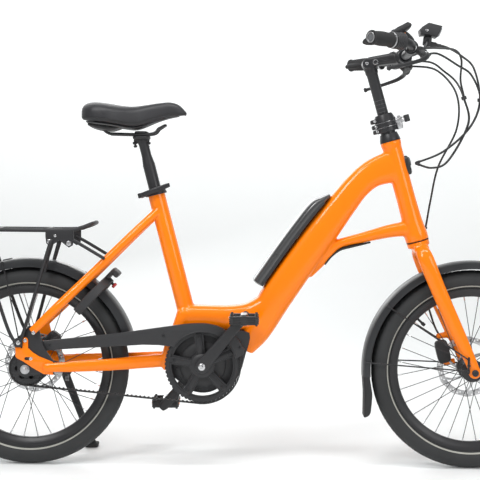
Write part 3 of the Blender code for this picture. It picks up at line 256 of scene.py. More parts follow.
def skin(rings, closed=False):
    """A mesh tube over rings of points, with end caps unless it is a loop."""
    bm = bmesh.new()
    rows = [[bm.verts.new(p) for p in ring] for ring in rings]
    count = len(rows[0])
    pairs = list(zip(rows, rows[1:]))
    if closed:
        pairs.append((rows[-1], rows[0]))
    for one, two in pairs:
        for i in range(count):
            j = (i + 1) % count
            bm.faces.new((one[i], one[j], two[j], two[i]))
    if not closed:
        bm.faces.new(rows[0][::-1])
        bm.faces.new(rows[-1])
    return bm


def oval(count, squareness):
    for k in range(count):
        angle = TURN * (k + 0.5) / count
        c, s = math.cos(angle), math.sin(angle)
        reach = (abs(c) ** squareness + abs(s) ** squareness) ** (-1 / squareness)
        yield reach * c, reach * s


def sweep(rows, sides=24, steps=6, side=(0, 1, 0), squareness=2.0, closed=False, domed=0.0):
    """A tube through rows (x, z, y, half height, half width); domed rounds its ends by that share."""
    if steps > 1:
        rows = spline(rows, steps)
    points = [at(x, z, y) for x, z, y, _, _ in rows]
    rings = []
    last = len(points) - 1
    section = list(oval(sides, squareness))
    for i, (point, row) in enumerate(zip(points, rows)):
        before = points[i - 1] if closed or i else point
        after = points[(i + 1) % len(points)] if closed or i < last else point
        along = (after - before).normalized()
        across = Vector(side)
        across = (across - across.dot(along) * along).normalized()
        up = along.cross(across)
        ends = [0.0]
        if domed and not closed and i in (0, last):
            ends = [0.9, 0.6, 0.0] if i == 0 else [0.0, 0.6, 0.9]
        for end in ends:
            shrink = math.sqrt(max(1 - end * end, 0.0))
            shift = along * ((-1 if i == 0 else 1) * end * domed * min(row[3], row[4]))
            rings.append([point + shift + shrink * (c * row[4] * across + s * row[3] * up)
                          for c, s in section])
    return skin(rings, closed)


def rod(points, radius, sides=14, steps=6, side=(0, 1, 0), closed=False, domed=0.6):
    return sweep([(*p, radius, radius) for p in points], sides, steps, side, 2.0, closed, domed)


def frame_along(origin, direction, zero=(1, 0, 0)):
    """Matrix whose local Z runs along direction and whose local X is nearest to zero."""
    z = Vector(direction).normalized()
    x = Vector(zero)
    x = (x - x.dot(z) * z).normalized()
    turn = Matrix((x, z.cross(x), z)).transposed().to_4x4()
    return Matrix.Translation(origin) @ turn


def lathe(profile, matrix, segments=64, closed=True):
    """A profile of (radius, along) turned about the matrix's local Z.

    A closed profile makes a ring. An open one makes a solid with flat ends.
    """
    turns = [TURN * i / segments for i in range(segments)]
    if closed:
        return skin([[matrix @ polar(r, a, h) for r, h in profile] for a in turns], True)
    return skin([[matrix @ polar(r, a, h) for a in turns] for r, h in profile])


def disc(radius, low, high, matrix, segments=32, edge=0.0):
    if not edge:
        return lathe([(radius, low), (radius, high)], matrix, segments, closed=False)
    step = math.copysign(edge, high - low)
    return lathe([(radius - edge, low), (radius, low + step), (radius, high - step), (radius - edge, high)],
                 matrix, segments, closed=False)


def ring(inner, outer, low, high, matrix, segments=48, edge=0.0006):
    step = math.copysign(edge, high - low)
    return lathe([(inner, low + step), (inner + edge, low), (outer - edge, low), (outer, low + step),
                  (outer, high - step), (outer - edge, high), (inner + edge, high), (inner, high - step)],
                 matrix, segments)


def box(size, matrix):
    x, y, z = (value / 2 for value in size)
    corners = ((-x, -y), (x, -y), (x, y), (-x, y))
    return skin([[matrix @ Vector((a, b, c)) for a, b in corners] for c in (-z, z)])


def pad(size, matrix, squareness=4.0, sides=28, crown=0.25):
    """A rounded pad of this size with crowned faces."""
    x, y, z = (value / 2 for value in size)
    rings = []
    for height, share in ((-1, 0.8), (-1 + crown, 0.95), (-0.3, 1.0), (0.3, 1.0), (1 - crown, 0.95),
                          (1, 0.8)):
        rings.append([matrix @ Vector((a * x * share, b * y * share, height * z))
                      for a, b in oval(sides, squareness)])
    return skin(rings)


def cut_sheet(outlines, matrix, thickness, edge=0.0005):
    """A flat plate with holes: the first outline is its edge, the others are holes, in local X and Y."""
    curve = bpy.data.curves.new("cut_sheet", "CURVE")
    curve.dimensions = "2D"
    curve.fill_mode = "BOTH"
    curve.extrude = thickness / 2 - edge
    curve.bevel_depth = edge
    curve.bevel_resolution = 1
    curve.offset = -edge
    for outline in outlines:
        line = curve.splines.new("POLY")
        line.points.add(len(outline) - 1)
        for point, (x, y) in zip(line.points, outline):
            point.co = (x, y, 0, 1)
        line.use_cyclic_u = True
    holder = new_object("cut_sheet", curve)
    graph = bpy.context.evaluated_depsgraph_get()
    mesh = bpy.data.meshes.new_from_object(holder.evaluated_get(graph))
    bm = bmesh.new()
    bm.from_mesh(mesh)
    bmesh.ops.remove_doubles(bm, verts=bm.verts, dist=1e-6)
    bmesh.ops.transform(bm, matrix=matrix, verts=bm.verts)
    bpy.data.objects.remove(holder)
    bpy.data.meshes.remove(mesh)
    return bm


def circle(cx, cy, radius, count=20, start=0.0, end=TURN):
    """Points round a circle, or along an arc of it."""
    whole = abs(end - start - TURN) < 1e-6
    last = count if whole else count - 1
    return [around(radius, start + (end - start) * i / last, cx, cy) for i in range(count)]


def side_view(y):
    """Matrix that stands an (x, z) outline up in the bicycle's side view at this y."""
    return shift(REAR_HUB.x, y, 0) @ spin(math.pi / 2, "X")


def mesh_of(name, bm):
    """A mesh of this shape, its faces turned outwards. The shape is used up."""
    bmesh.ops.recalc_face_normals(bm, faces=bm.faces)
    mesh = bpy.data.meshes.new(name)
    bm.to_mesh(mesh)
    bm.free()
    return mesh


def merged(*shapes):
    """Several shapes as one mesh."""
    whole = bmesh.new()
    for shape in shapes:
        mesh = mesh_of("part", shape)
        whole.from_mesh(mesh)
        bpy.data.meshes.remove(mesh)
    return whole


def piece(name, bm, body, material, replaces=(), bevel=0.0, angle=38):
    """One finished piece that rides on a body and stands for CAD nodes."""
    mesh = mesh_of(name, bm)
    obj = new_object(name, mesh)
    mesh.materials.append(material)
    mesh.shade_smooth()
    mesh.set_sharp_from_angle(angle=math.radians(angle))
    if bevel:
        rounding = obj.modifiers.new("bevel", "BEVEL")
        rounding.width = bevel
        rounding.segments = 3
        rounding.limit_method = "ANGLE"
        rounding.angle_limit = math.radians(35)
        rounding.harden_normals = True
    if body:
        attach(obj, body)
    if replaces:
        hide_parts(*replaces)
    return obj


def baked(obj, material):
    """Applies the object's modifiers and gives back its new mesh, in one material."""
    graph = bpy.context.evaluated_depsgraph_get()
    mesh = bpy.data.meshes.new_from_object(obj.evaluated_get(graph))
    obj.modifiers.clear()
    obj.data = mesh
    mesh.materials.clear()
    mesh.materials.append(material)
    return mesh


def welded(name, shapes, body, material, replaces, voxel, smooth, cuts):
    """Tubes grown into one skin with soft weld fillets, and its bores cut afterwards."""
    obj = piece(name, merged(*shapes), body, material, replaces)
    remesh = obj.modifiers.new("weld", "REMESH")
    remesh.mode = "VOXEL"
    remesh.voxel_size = voxel
    remesh.use_smooth_shade = True
    relax = obj.modifiers.new("relax", "SMOOTH")
    relax.factor = 0.5
    relax.iterations = smooth
    helpers = [new_object(name + "_cut", mesh_of(name + "_cut", cut)) for cut in cuts]
    for helper in helpers:
        cutting = obj.modifiers.new("cut", "BOOLEAN")
        cutting.operation = "DIFFERENCE"
        cutting.object = helper
    mesh = baked(obj, material)
    mesh.shade_smooth()
    mesh.set_sharp_from_angle(angle=math.radians(50))
    for helper in helpers:
        bpy.data.objects.remove(helper)


def bolt(matrix, radius=0.004, height=0.004):
    """A button-head bolt with a hexagon socket, its head rising along local Z."""
    head = [(radius, 0), (radius, height * 0.45), (radius * 0.9, height * 0.8), (radius * 0.62, height)]
    turns = [TURN * i / 24 for i in range(24)]
    rings = [[matrix @ polar(r, a, h) for a in turns] for r, h in head]
    inner = radius * 0.5 * math.cos(math.pi / 6)
    for h in (height, height * 0.25):
        rings.append([matrix @ polar(inner / math.cos(a % (math.pi / 3) - math.pi / 6), a, h) for a in turns])
    return skin(rings)


def lateral(x, z, y=0.0):
    """Matrix at this point whose local Z points to the left and whose local X is forward."""
    return frame_along(at(x, z, y), (0, 1, 0))


def rightward(x, z, y=0.0):
    return frame_along(at(x, z, y), (0, -1, 0))


def outwards(side):
    """The one of lateral and rightward that points away from the middle on this side."""
    return lateral if side > 0 else rightward


REAR = lateral(0, AXLE_Z)
FRONT = lateral(WHEELBASE, AXLE_Z)
CRANK = lateral(CRANK_X, CRANK_Z)


# ---------------------------------------------------------------- camera, light and floor

def make_floor():
    """A floor that curves up into a wall. Its paper glows with painted light, more on the wall than on the
    floor, standing in for the studio lamps lighting the backdrop.
    """
    near, bend, radius, width, top = -7.0, 2.2, 1.8, 9.0, 7.0
    profile = [(near, 0.0), (bend, 0.0)]
    profile += [(bend + radius * math.sin(a), radius - radius * math.cos(a))
                for a in (math.pi / 2 * i / 12 for i in range(1, 13))]
    profile += [(bend + radius, top)]
    bm = bmesh.new()
    rows = [[bm.verts.new((x, y, z)) for y, z in profile] for x in (-width, width)]
    for i in range(len(profile) - 1):
        bm.faces.new((rows[0][i], rows[1][i], rows[1][i + 1], rows[0][i + 1]))
    mesh = bpy.data.meshes.new("floor")
    bm.to_mesh(mesh)
    bm.free()
    mesh.shade_smooth()
    floor = new_object("floor", mesh)
    paper = bpy.data.materials.new("floor_paper")
    paper.use_nodes = True
    tree = paper.node_tree
    shader = tree.nodes["Principled BSDF"]
    shader.inputs["Base Color"].default_value = (0.86, 0.875, 0.875, 1)
    shader.inputs["Roughness"].default_value = 0.7
    shader.inputs["Emission Color"].default_value = (0.98, 1.0, 1.0, 1)
    # Painted light: the paper's emission rises with height, so the wall is brighter than the floor without
    # any lamp.
    height = add_node(tree, "SeparateXYZ", None, {0: add_node(tree, "TexCoord").outputs["Object"]})
    painted_backdrop_light = add_node(tree, "MapRange", {"From Max": 1.2, "To Min": 0.06, "To Max": 0.42},
                    {"Value": height.outputs["Z"]})
    tree.links.new(painted_backdrop_light.outputs["Result"], shader.inputs["Emission Strength"])
    mesh.materials.append(paper)


def make_studio():
    camera_data = bpy.data.cameras.new("camera")
    camera_data.sensor_width = 36
    camera_data.lens = 84.2
    camera = new_object("camera", camera_data)
    eye = Vector((0.04, -2.9, 0.716))
    # The lens points a little left and down of the bicycle's square side view.
    pan, tilt, roll = math.radians(1.02), math.radians(-2.55), math.radians(0.37)
    camera.matrix_world = Matrix.Translation(eye) @ spin(pan) @ spin(math.pi / 2 + tilt, "X") @ spin(roll)
    bpy.context.scene.camera = camera
    bpy.context.scene.view_settings.view_transform = "Standard"
    make_floor()
    world = bpy.data.worlds.new("studio")
    world.use_nodes = True
    background = world.node_tree.nodes["Background"]
    background.inputs["Color"].default_value = (1.0, 1.0, 1.0, 1)
    background.inputs["Strength"].default_value = 0.34
    bpy.context.scene.world = world
    for name, where, aim, size, power in (
        ("key", (-1.8, -3.2, 3.4), (0, 0, 0.5), (1.4, 1.4), 84),
        ("fill", (2.8, -3.0, 2.0), (0.2, 0, 0.5), (1.8, 1.8), 40),
        ("top", (0.1, -0.9, 3.3), (0, 0, 0.5), (3.2, 0.5), 56),
        ("rear", (-1.0, 2.4, 1.8), (0, 0, 0.6), (2.0, 2.0), 24),
    ):
        light_data = bpy.data.lights.new(name, "AREA")
        light_data.shape = "RECTANGLE"
        light_data.size, light_data.size_y = size
        light_data.energy = power
        light = new_object(name, light_data)
        light.location = where
        light.rotation_euler = (Vector(aim) - Vector(where)).to_track_quat("-Z", "Y").to_euler()


make_studio()


# ---------------------------------------------------------------- wheels

def arch(profile, centre, start, end, steps):
    """A profile of (radius, y) swept round (x, z) in the side view, angles in degrees from forward."""
    rings = []
    for i in range(steps + 1):
        a = math.radians(start + (end - start) * i / steps)
        rings.append([at(centre[0] + r * math.cos(a), centre[1] + r * math.sin(a), y) for r, y in profile])
    return skin(rings)


def tread_depth(angle, y):
    """How far the tread is cut below its crown at this turn of the wheel and this distance off its middle."""
    blocks = 78
    across = abs(y)
    if across > 0.0215:
        return 0.0
    slant = angle * blocks / TURN + (1 if y > 0 else 0.5) * 0.5 + across * 55
    if 0.0045 < across < 0.0062:
        return 0.0011
    if across <= 0.0045:
        return 0.0007 if (angle * blocks / TURN) % 1 < 0.14 else 0.0
    return 0.0015 if slant % 1 < 0.22 else 0.0


def tyre(hub):
    segments, across = 780, 40
    middle_radius = (AXLE_Z + RIM_RADIUS) / 2 + 0.0005
    rise, half_width = AXLE_Z - middle_radius, 0.0275
    rings = []
    for i in range(segments):
        a = TURN * i / segments
        ring_points = []
        for k in range(across + 1):
            t = math.radians(-148 + 296 * k / across)
            y = half_width * math.sin(t)
            r = middle_radius + rise * math.copysign(abs(math.cos(t)) ** 0.9, math.cos(t))
            if abs(t) < 1.3:
                r -= tread_depth(a, y)
            ring_points.append(hub @ polar(r, a, y))
        ring_points += [hub @ polar(0.2075, a, y) for y in (0.012, -0.012)]
        rings.append(ring_points)
    return skin(rings, True)


def spokes_and_nipples(hub, flange, flange_y):
    count = 32
    wires, nipples = [], []
    for i in range(count):
        a = TURN * (i + 0.5) / count
        lean = math.radians(34) * (1 if i % 4 < 2 else -1)
        y = (flange_y if i % 2 else -flange_y) + math.copysign(0.0018, lean)
        start, end = polar(flange, a - lean, y), polar(0.1895, a, y * 0.08)
        along = (hub @ end) - (hub @ start)
        turn = frame_along(hub @ start, along, (0, 1, 0))
        wires.append(disc(0.00095, 0, along.length, turn, 8))
        wires.append(disc(0.0021, -0.0012, 0.001, frame_along(hub @ start, (0, 1, 0)), 10))
        nipples.append(lathe([(0.0012, along.length - 0.013), (0.0018, along.length - 0.012),
                              (0.002, along.length - 0.001), (0.002, along.length)], turn, 8, closed=False))
    return merged(*wires), merged(*nipples)


def rotor(hub, y):
    """A brake disc with swept windows, a wavy edge and two rows of small holes."""
    def swept(radius, turn):
        return around(radius, turn + 0.55 * (radius - 0.03) / 0.036)

    wave = [TURN * i / 216 for i in range(216)]
    outlines = [[around(ROTOR_RADIUS - 0.0012 + 0.001 * math.cos(a * 12), a) for a in wave],
                circle(0, 0, 0.013, 32)]
    side = ((0.031, 0.0), (0.04, 0.03), (0.052, 0.06), (0.064, 0.07))
    for i in range(6):
        low, high = TURN * i / 6 + 0.13, TURN * (i + 1) / 6 - 0.13
        window = [swept(r, low - a) for r, a in side]
        window += [swept(0.064, low + (high - low) * k / 6) for k in range(1, 6)]
        window += [swept(r, high + a) for r, a in reversed(side)]
        outlines += [window, circle(*around(0.022, TURN * (i + 0.5) / 6), 0.0016, 12)]
    for i in range(24):
        for r, ahead in ((0.07, 0.0), (0.0745, 0.09)):
            outlines.append(circle(*around(r, TURN * i / 24 + ahead), 0.0019, 12))
    return cut_sheet(outlines, hub @ shift(0, 0, y), 0.0019, 0.0002)


def make_wheel(which, hub, flange, flange_y, hub_profile, rotor_y):
    body = which + "_wheel"
    hub_point = tuple(hub.translation)
    piece(which + "_tyre_tread", tyre(hub), body, striped_tyre(which + "_tyre_rubber", hub_point),
          [which + "_tyre"], angle=30)
    half = [(0.2094, 0.015), (0.207, 0.015), (0.202, 0.0138), (0.196, 0.0112), (0.1905, 0.0078),
            (0.1884, 0.004)]
    rim = lathe(half + [(r, -y) for r, y in reversed(half)], hub, 192)
    piece(which + "_rim_black", rim, body, BLACK, [which + "_rim"], angle=24)
    wires, nipples = spokes_and_nipples(hub, flange, flange_y)
    piece(which + "_spokes", wires, body, DARK_STEEL, [which + "_hub"])
    piece(which + "_nipples", nipples, body, SILVER)
    piece(which + "_hub_shell", lathe(hub_profile, hub, 72), body, BLACK, bevel=0.0006, angle=30)
    piece(which + "_disc", rotor(hub, rotor_y), body, STEEL, [which + "_rotor"], angle=25)
    carrier = ring(0.0105, 0.027, rotor_y - 0.0065, rotor_y - 0.0011, hub, 48)
    bolts = [bolt(hub @ spin(TURN * (i + 0.5) / 6) @ shift(0.022, 0, rotor_y + 0.001), 0.004, 0.002)
             for i in range(6)]
    piece(which + "_disc_carrier", carrier, body, BLACK, bevel=0.0004)
    piece(which + "_disc_bolts", merged(*bolts), body, SILVER)
    valve_turn = hub @ spin(TURN * 0.62)
    stem = frame_along(valve_turn @ Vector((0.19, 0, 0)), valve_turn.to_3x3() @ Vector((-1, 0, 0)), (0, 1, 0))
    valve = merged(disc(0.0032, 0, 0.016, stem, 14, 0.0004), disc(0.0045, 0.016, 0.026, stem, 14, 0.0008))
    piece(which + "_valve", valve, body, RUBBER)


def both_sides(half):
    """A profile's right half, then its mirror image on the left."""
    return [(r, -y) for r, y in half] + half[::-1]


def make_wheels():
    rear_middle = [(0.045, 0.0312), (0.048, 0.03), (0.048, 0.0262), (0.045, 0.025), (0.037, 0.022),
                   (0.0345, 0.01)]
    front_middle = [(0.024, 0.0338), (0.029, 0.0325), (0.029, 0.0285), (0.024, 0.0272),
                    (0.016, 0.022), (0.0145, 0.01)]
    rear_profile = ([(0.008, -0.0395), (0.03, -0.0395), (0.0335, -0.033)] + both_sides(rear_middle)
                    + [(0.031, 0.0335), (0.026, 0.046), (0.008, 0.046)])
    front_profile = ([(0.008, -0.0455), (0.0125, -0.0455), (0.015, -0.035)] + both_sides(front_middle)
                     + [(0.016, 0.0345), (0.012, 0.0352), (0.008, 0.0352)])
    make_wheel("rear", REAR, 0.045, 0.0283, rear_profile, 0.0535)
    make_wheel("front", FRONT, 0.0262, 0.0307, front_profile, 0.0415)
    nuts, caps = [], []
    for side in (-1, 1):
        nuts += [disc(0.006, side * 0.073, side * 0.089, REAR, 20, 0.001),
                 disc(0.012, side * 0.0733, side * 0.0755, REAR, 28, 0.0003),
                 disc(0.0105, side * 0.0755, side * 0.0845, REAR, 6, 0.001)]
        caps += [disc(0.0085, side * 0.0668, side * 0.0735, FRONT, 28, 0.0015),
                 disc(0.006, side * 0.048, side * 0.066, FRONT, 20)]
    piece("rear_axle_nuts", merged(*nuts), "frame", STEEL, ["rear_axle"], bevel=0.0005, angle=25)
    caps.append(bolt(rightward(WHEELBASE, AXLE_Z, -0.0733), 0.0062, 0.0014))
    piece("front_axle_ends", merged(*caps), "fork", SATIN, ["front_axle"], angle=30)


make_wheels()


# ---------------------------------------------------------------- frame

SEAT_TOP, SEAT_BOTTOM = (0.3234, 0.716), (0.411, 0.379)
HEAD_TOP, HEAD_BOTTOM = (0.928, 0.844), (1.001, 0.588)
SEAT_AXIS = (at(*SEAT_TOP) - at(*SEAT_BOTTOM)).normalized()
HEAD_AXIS = (at(*HEAD_TOP) - at(*HEAD_BOTTOM)).normalized()
HEAD_LENGTH = (at(*HEAD_TOP) - at(*HEAD_BOTTOM)).length
SEAT_LENGTH = (at(*SEAT_TOP) - at(*SEAT_BOTTOM)).length
SEAT_TUBE_RADIUS, STEERER_RADIUS, STEM_RADIUS, POST_RADIUS = 0.022, 0.019, 0.0143, 0.0158


def seat_matrix(z):
    """On the seat tube's axis at this height."""
    foot = at(*SEAT_BOTTOM)
    return frame_along(foot + SEAT_AXIS * ((z - foot.z) / SEAT_AXIS.z), SEAT_AXIS)


def head_matrix(z):
    """On the steering axis at this height."""
    foot = at(*HEAD_BOTTOM)
    return frame_along(foot + HEAD_AXIS * ((z - foot.z) / HEAD_AXIS.z), HEAD_AXIS)


def stay_rows(side, inner_end):
    chain = [
        (0.352, 0.276, side * 0.026, 0.017, 0.012), (0.3, 0.273, side * 0.033, 0.017, 0.011),
        (0.22, 0.268, side * 0.05, 0.016, 0.01), (0.12, 0.265, side * (inner_end - 0.003), 0.014, 0.007),
        (0.09, 0.264, side * inner_end, 0.013, 0.0055), (0.048, 0.262, side * inner_end, 0.012, 0.0055),
    ]
    seat = [
        (0.336, 0.664, side * 0.012, 0.012, 0.011), (0.27, 0.601, side * 0.029, 0.012, 0.011),
        (0.16, 0.4925, side * 0.0495, 0.012, 0.011), (0.08, 0.414, side * (inner_end - 0.004), 0.012, 0.0085),
        (0.046, 0.3805, side * inner_end, 0.0115, 0.0055), (0.018, 0.353, side * inner_end, 0.011, 0.0055),
    ]
    return chain, seat


def dropout_outline():
    arc = [around(0.02, math.radians(180 + 120 * i / 12), 0, AXLE_Z) for i in range(13)]
    rest = [(0.03, 0.2435), (0.05, 0.245), (0.07, 0.248), (0.078, 0.258), (0.0795, 0.27),
            (0.068, 0.284), (0.056, 0.3), (0.046, 0.32), (0.04, 0.34), (0.036, 0.356),
            (0.026, 0.367), (0.01, 0.368), (-0.006, 0.35), (-0.02, 0.338), (-0.024, 0.326),
            (-0.023, 0.31), (-0.02, 0.28)]
    return arc + rest


# The frame's right lug, which the dropout slides on.
LUG_OUTLINE = [
    (-0.024, 0.29), (-0.024, 0.315), (-0.012, 0.316), (-0.009, 0.31), (-0.006, 0.313), (-0.007, 0.33),
    (-0.0045, 0.337), (0.001, 0.3395), (0.0065, 0.337), (0.0085, 0.331), (0.0085, 0.312), (0.02, 0.301),
    (0.036, 0.291), (0.072, 0.2765), (0.072, 0.2435), (0.048, 0.2455), (0.02, 0.261), (-0.006, 0.2785),
    (-0.02, 0.285),
]


def slot_outline(ax, az, bx, bz, radius):
    """A long hole between two points."""
    lean = math.atan2(bz - az, bx - ax)
    return (circle(ax, az, radius, 9, lean + math.pi / 2, lean + 3 * math.pi / 2)
            + circle(bx, bz, radius, 9, lean - math.pi / 2, lean + math.pi / 2))


def make_tubes():
    """The welded tubes of the frame, with bores for the steerer and the seat post."""
    right_chain, right_seat = stay_rows(-1, DROPOUT_INNER + DROPOUT_THICKNESS + 0.0058)
    left_chain, left_seat = stay_rows(1, DROPOUT_INNER + DROPOUT_THICKNESS / 2)
    down_tube = sweep([
        (0.562, 0.302, 0, 0.018, 0.03), (0.59, 0.352, 0, 0.034, 0.036), (0.636, 0.438, 0, 0.042, 0.038),
        (0.697, 0.529, 0, 0.042, 0.037), (0.763, 0.622, 0, 0.04, 0.034), (0.812, 0.688, 0, 0.036, 0.03),
        (0.846, 0.73, 0, 0.034, 0.027), (0.886, 0.762, 0, 0.036, 0.025), (0.944, 0.782, 0, 0.043, 0.023),
    ], 48, 8, squareness=3.0)
    low_tube = sweep([
        (0.392, 0.384, 0, 0.032, 0.03), (0.43, 0.385, 0, 0.033, 0.033), (0.52, 0.385, 0, 0.033, 0.036),
        (0.575, 0.394, 0, 0.034, 0.036), (0.625, 0.424, 0, 0.034, 0.036),
    ], 48, 8, squareness=3.0)
    strut = sweep([
        (0.982, 0.62, 0, 0.02, 0.02), (0.93, 0.613, 0, 0.017, 0.019), (0.86, 0.5955, 0, 0.0135, 0.018),
        (0.8, 0.5795, 0, 0.012, 0.02), (0.768, 0.556, 0, 0.0165, 0.02), (0.747, 0.53, 0, 0.015, 0.018),
        (0.722, 0.496, 0, 0.008, 0.016),
    ], 36, 8, squareness=2.4)
    yoke = sweep([(0.402, 0.4, 0, 0.02, 0.032), (0.378, 0.345, 0, 0.014, 0.04),
                  (0.357, 0.3, 0, 0.011, 0.041), (0.356, 0.252, 0, 0.01, 0.038)], 36, 8, squareness=3.6)
    head = frame_along(at(*HEAD_BOTTOM), HEAD_AXIS)
    seat = frame_along(at(*SEAT_BOTTOM), SEAT_AXIS)
    tubes = [
        down_tube, low_tube, strut, yoke,
        lathe([(0.0235, -0.018), (0.0228, 0.03), (SEAT_TUBE_RADIUS, SEAT_LENGTH)], seat, 48, closed=False),
        lathe([(0.03, 0.0), (0.03, 0.018), (0.0278, 0.034), (0.0262, 0.05), (0.025, 0.08), (0.0245, 0.11),
               (0.0245, HEAD_LENGTH - 0.018), (0.0265, HEAD_LENGTH - 0.01), (0.0265, HEAD_LENGTH)],
              head, 56, closed=False),
        rod([(0.262, 0.594, -0.034), (0.262, 0.594, 0.034)], 0.008, 20, 1, (0, 0, 1)),
    ]
    tubes += [sweep(rows, 28, 8) for rows in (right_chain, right_seat, left_chain, left_seat)]
    welded("frame_tubes", tubes, "frame", ORANGE, ["main_frame"], 0.0026, 7, cuts=[
        disc(STEERER_RADIUS + 0.0006, -0.02, HEAD_LENGTH + 0.02, head, 48),
        disc(POST_RADIUS + 0.0003, 0.05, SEAT_LENGTH + 0.02, seat, 48),
    ])


def make_dropouts():
    hole = circle(0, AXLE_Z, 0.0063, 24)
    for side, name in ((-1, "right"), (1, "left")):
        place = side_view(side * (DROPOUT_INNER + DROPOUT_THICKNESS / 2))
        plate = cut_sheet([dropout_outline(), hole], place, DROPOUT_THICKNESS, 0.0009)
        piece(name + "_dropout_plate", plate, "frame", SATIN if side < 0 else ORANGE,
              ["right_dropout"] if side < 0 else (), angle=25)
    slots = [slot_outline(0.003, 0.2845, 0.016, 0.2845, 0.004),
             slot_outline(0.052, 0.262, 0.066, 0.262, 0.004)]
    lug = cut_sheet([LUG_OUTLINE, *slots], side_view(-0.0745), 0.0034, 0.0008)
    piece("right_dropout_lug", lug, "frame", ORANGE, angle=25)
    bolts = [bolt(rightward(x, z, y), 0.005, 0.0034)
             for x, z, y in ((0.024, 0.352, -0.084), (0.0655, 0.262, -0.073), (0.015, 0.2845, -0.073),
                             (0.001, 0.331, -0.076))]
    bolts.append(bolt(lateral(0.006, 0.34, 0.0725), 0.0045, 0.003))
    piece("dropout_bolts", merged(*bolts), "frame", SILVER)


def make_frame_trim():
    """The headset, the seat collar, the strut's bumper and the port for the cables."""
    top = frame_along(at(*HEAD_TOP), HEAD_AXIS)
    cone = lathe([(0.0196, 0.0003), (0.0256, 0.0003), (0.0264, 0.0012), (0.0262, 0.005), (0.0228, 0.0185),
                  (0.0218, 0.02), (0.0196, 0.02)], top, 64)
    piece("headset_cone", cone, "frame", BLACK, ["headset_cup"], bevel=0.0004)
    piece("headset_seal", ring(0.0196, 0.0272, -0.0012, 0.0004, top, 64), "frame", RUBBER)
    collar = seat_matrix(SEAT_TOP[1] - 0.006)
    clamp = lathe([(SEAT_TUBE_RADIUS + 0.0006, -0.0085), (0.027, -0.0085), (0.0278, -0.007), (0.0262, 0.0),
                   (0.0278, 0.0065), (0.027, 0.008), (POST_RADIUS + 0.0008, 0.008),
                   (POST_RADIUS + 0.0008, 0.0062), (SEAT_TUBE_RADIUS + 0.0006, 0.0062)], collar, 64)
    ears = [pad((0.018, 0.007, 0.0125), collar @ shift(-0.0345, y, 0)) for y in (-0.0053, 0.0053)]
    piece("seat_collar", clamp, "frame", BLACK, ["seat_clamp"], bevel=0.0004)
    piece("seat_collar_ears", merged(*ears), "frame", BLACK, bevel=0.0004)
    bumper = sweep([(0.763, 0.527, 0, 0.0034, 0.014), (0.779, 0.5475, 0, 0.004, 0.015),
                    (0.801, 0.564, 0, 0.004, 0.015), (0.828, 0.572, 0, 0.004, 0.015),
                    (0.854, 0.5775, 0, 0.003, 0.014), (0.879, 0.583, 0, 0.002, 0.012)], 24, 8, domed=0.6)
    piece("strut_bumper", bumper, "frame", RUBBER, ["gusset_bumper"])
    port = frame_along(at(0.97, 0.782), (0.96, 0, 0.277))
    piece("port_cover", pad((0.05, 0.028, 0.014), port @ shift(0, 0, 0.002), 3.2), "frame",
          SMOOTH_PLASTIC, ["cable_port"], bevel=0.0005)
    piece("port_insert", pad((0.024, 0.019, 0.008), port @ shift(-0.008, 0, 0.0085), 2.4), "frame", GREY)
    piece("port_screw", bolt(port @ shift(0.017, 0, 0.0088), 0.0034, 0.002), "frame", SILVER)


make_tubes()
make_dropouts()
make_frame_trim()


# ---------------------------------------------------------------- drive

RING_TEETH, PULLEY_TEETH = 55, 24


def belt_path():
    """The belt's middle line as (x, z, outward x, outward z, tooth phase), and both wheels' phase angles."""
    small, large = PULLEY_RADIUS + 0.002, RING_RADIUS + 0.002
    span = math.hypot(CRANK_X, CRANK_Z - AXLE_Z)
    lean = math.atan2(CRANK_Z - AXLE_Z, CRANK_X)
    spread = math.acos((small - large) / span)
    straight = math.sqrt(span**2 - (large - small) ** 2)
    arcs = [((0, AXLE_Z), small, lean + spread, lean + TURN - spread, PULLEY_TEETH),
            ((CRANK_X, CRANK_Z), large, lean - spread, lean + spread, RING_TEETH)]
    path, phase, starts = [], 0.0, []
    for centre, radius, start, end, teeth in arcs:
        starts.append((start, phase))
        turns = (end - start) / TURN * teeth
        count = int(turns * 8)
        for i in range(count + 1):
            a = start + (end - start) * i / count
            path.append((*around(radius, a, *centre), *around(1, a), phase + turns * i / count))
        phase += turns
        other = arcs[1] if centre[0] == 0 else arcs[0]
        reach = straight / BELT_TEETH_PITCH
        reach = round(phase + reach) - phase if other is arcs[0] else reach
        ex, ez = around(other[1], other[2], *other[0])
        lx, lz, nx, nz, _ = path[-1]
        steps = int(reach * 8)
        for i in range(1, steps):
            t = i / steps
            path.append((lx + (ex - lx) * t, lz + (ez - lz) * t, nx, nz, phase + reach * t))
        phase += reach
    return path, starts


def toothed(centre_hub, radius, teeth, start, phase, y_low, y_high, holes):
    """A toothed wheel whose grooves meet the belt's teeth."""
    outline = []
    for i in range(teeth * 8):
        a = start + (i / 8 - phase) / teeth * TURN
        depth = 0.0026 * max(0.0, math.cos(TURN * i / 8)) ** 0.6
        outline.append(around(radius - depth, a))
    x, z = centre_hub
    moved = [[(px + x, pz + z) for px, pz in one] for one in [outline, *holes]]
    return cut_sheet(moved, side_view((y_low + y_high) / 2), y_high - y_low, 0.0006)


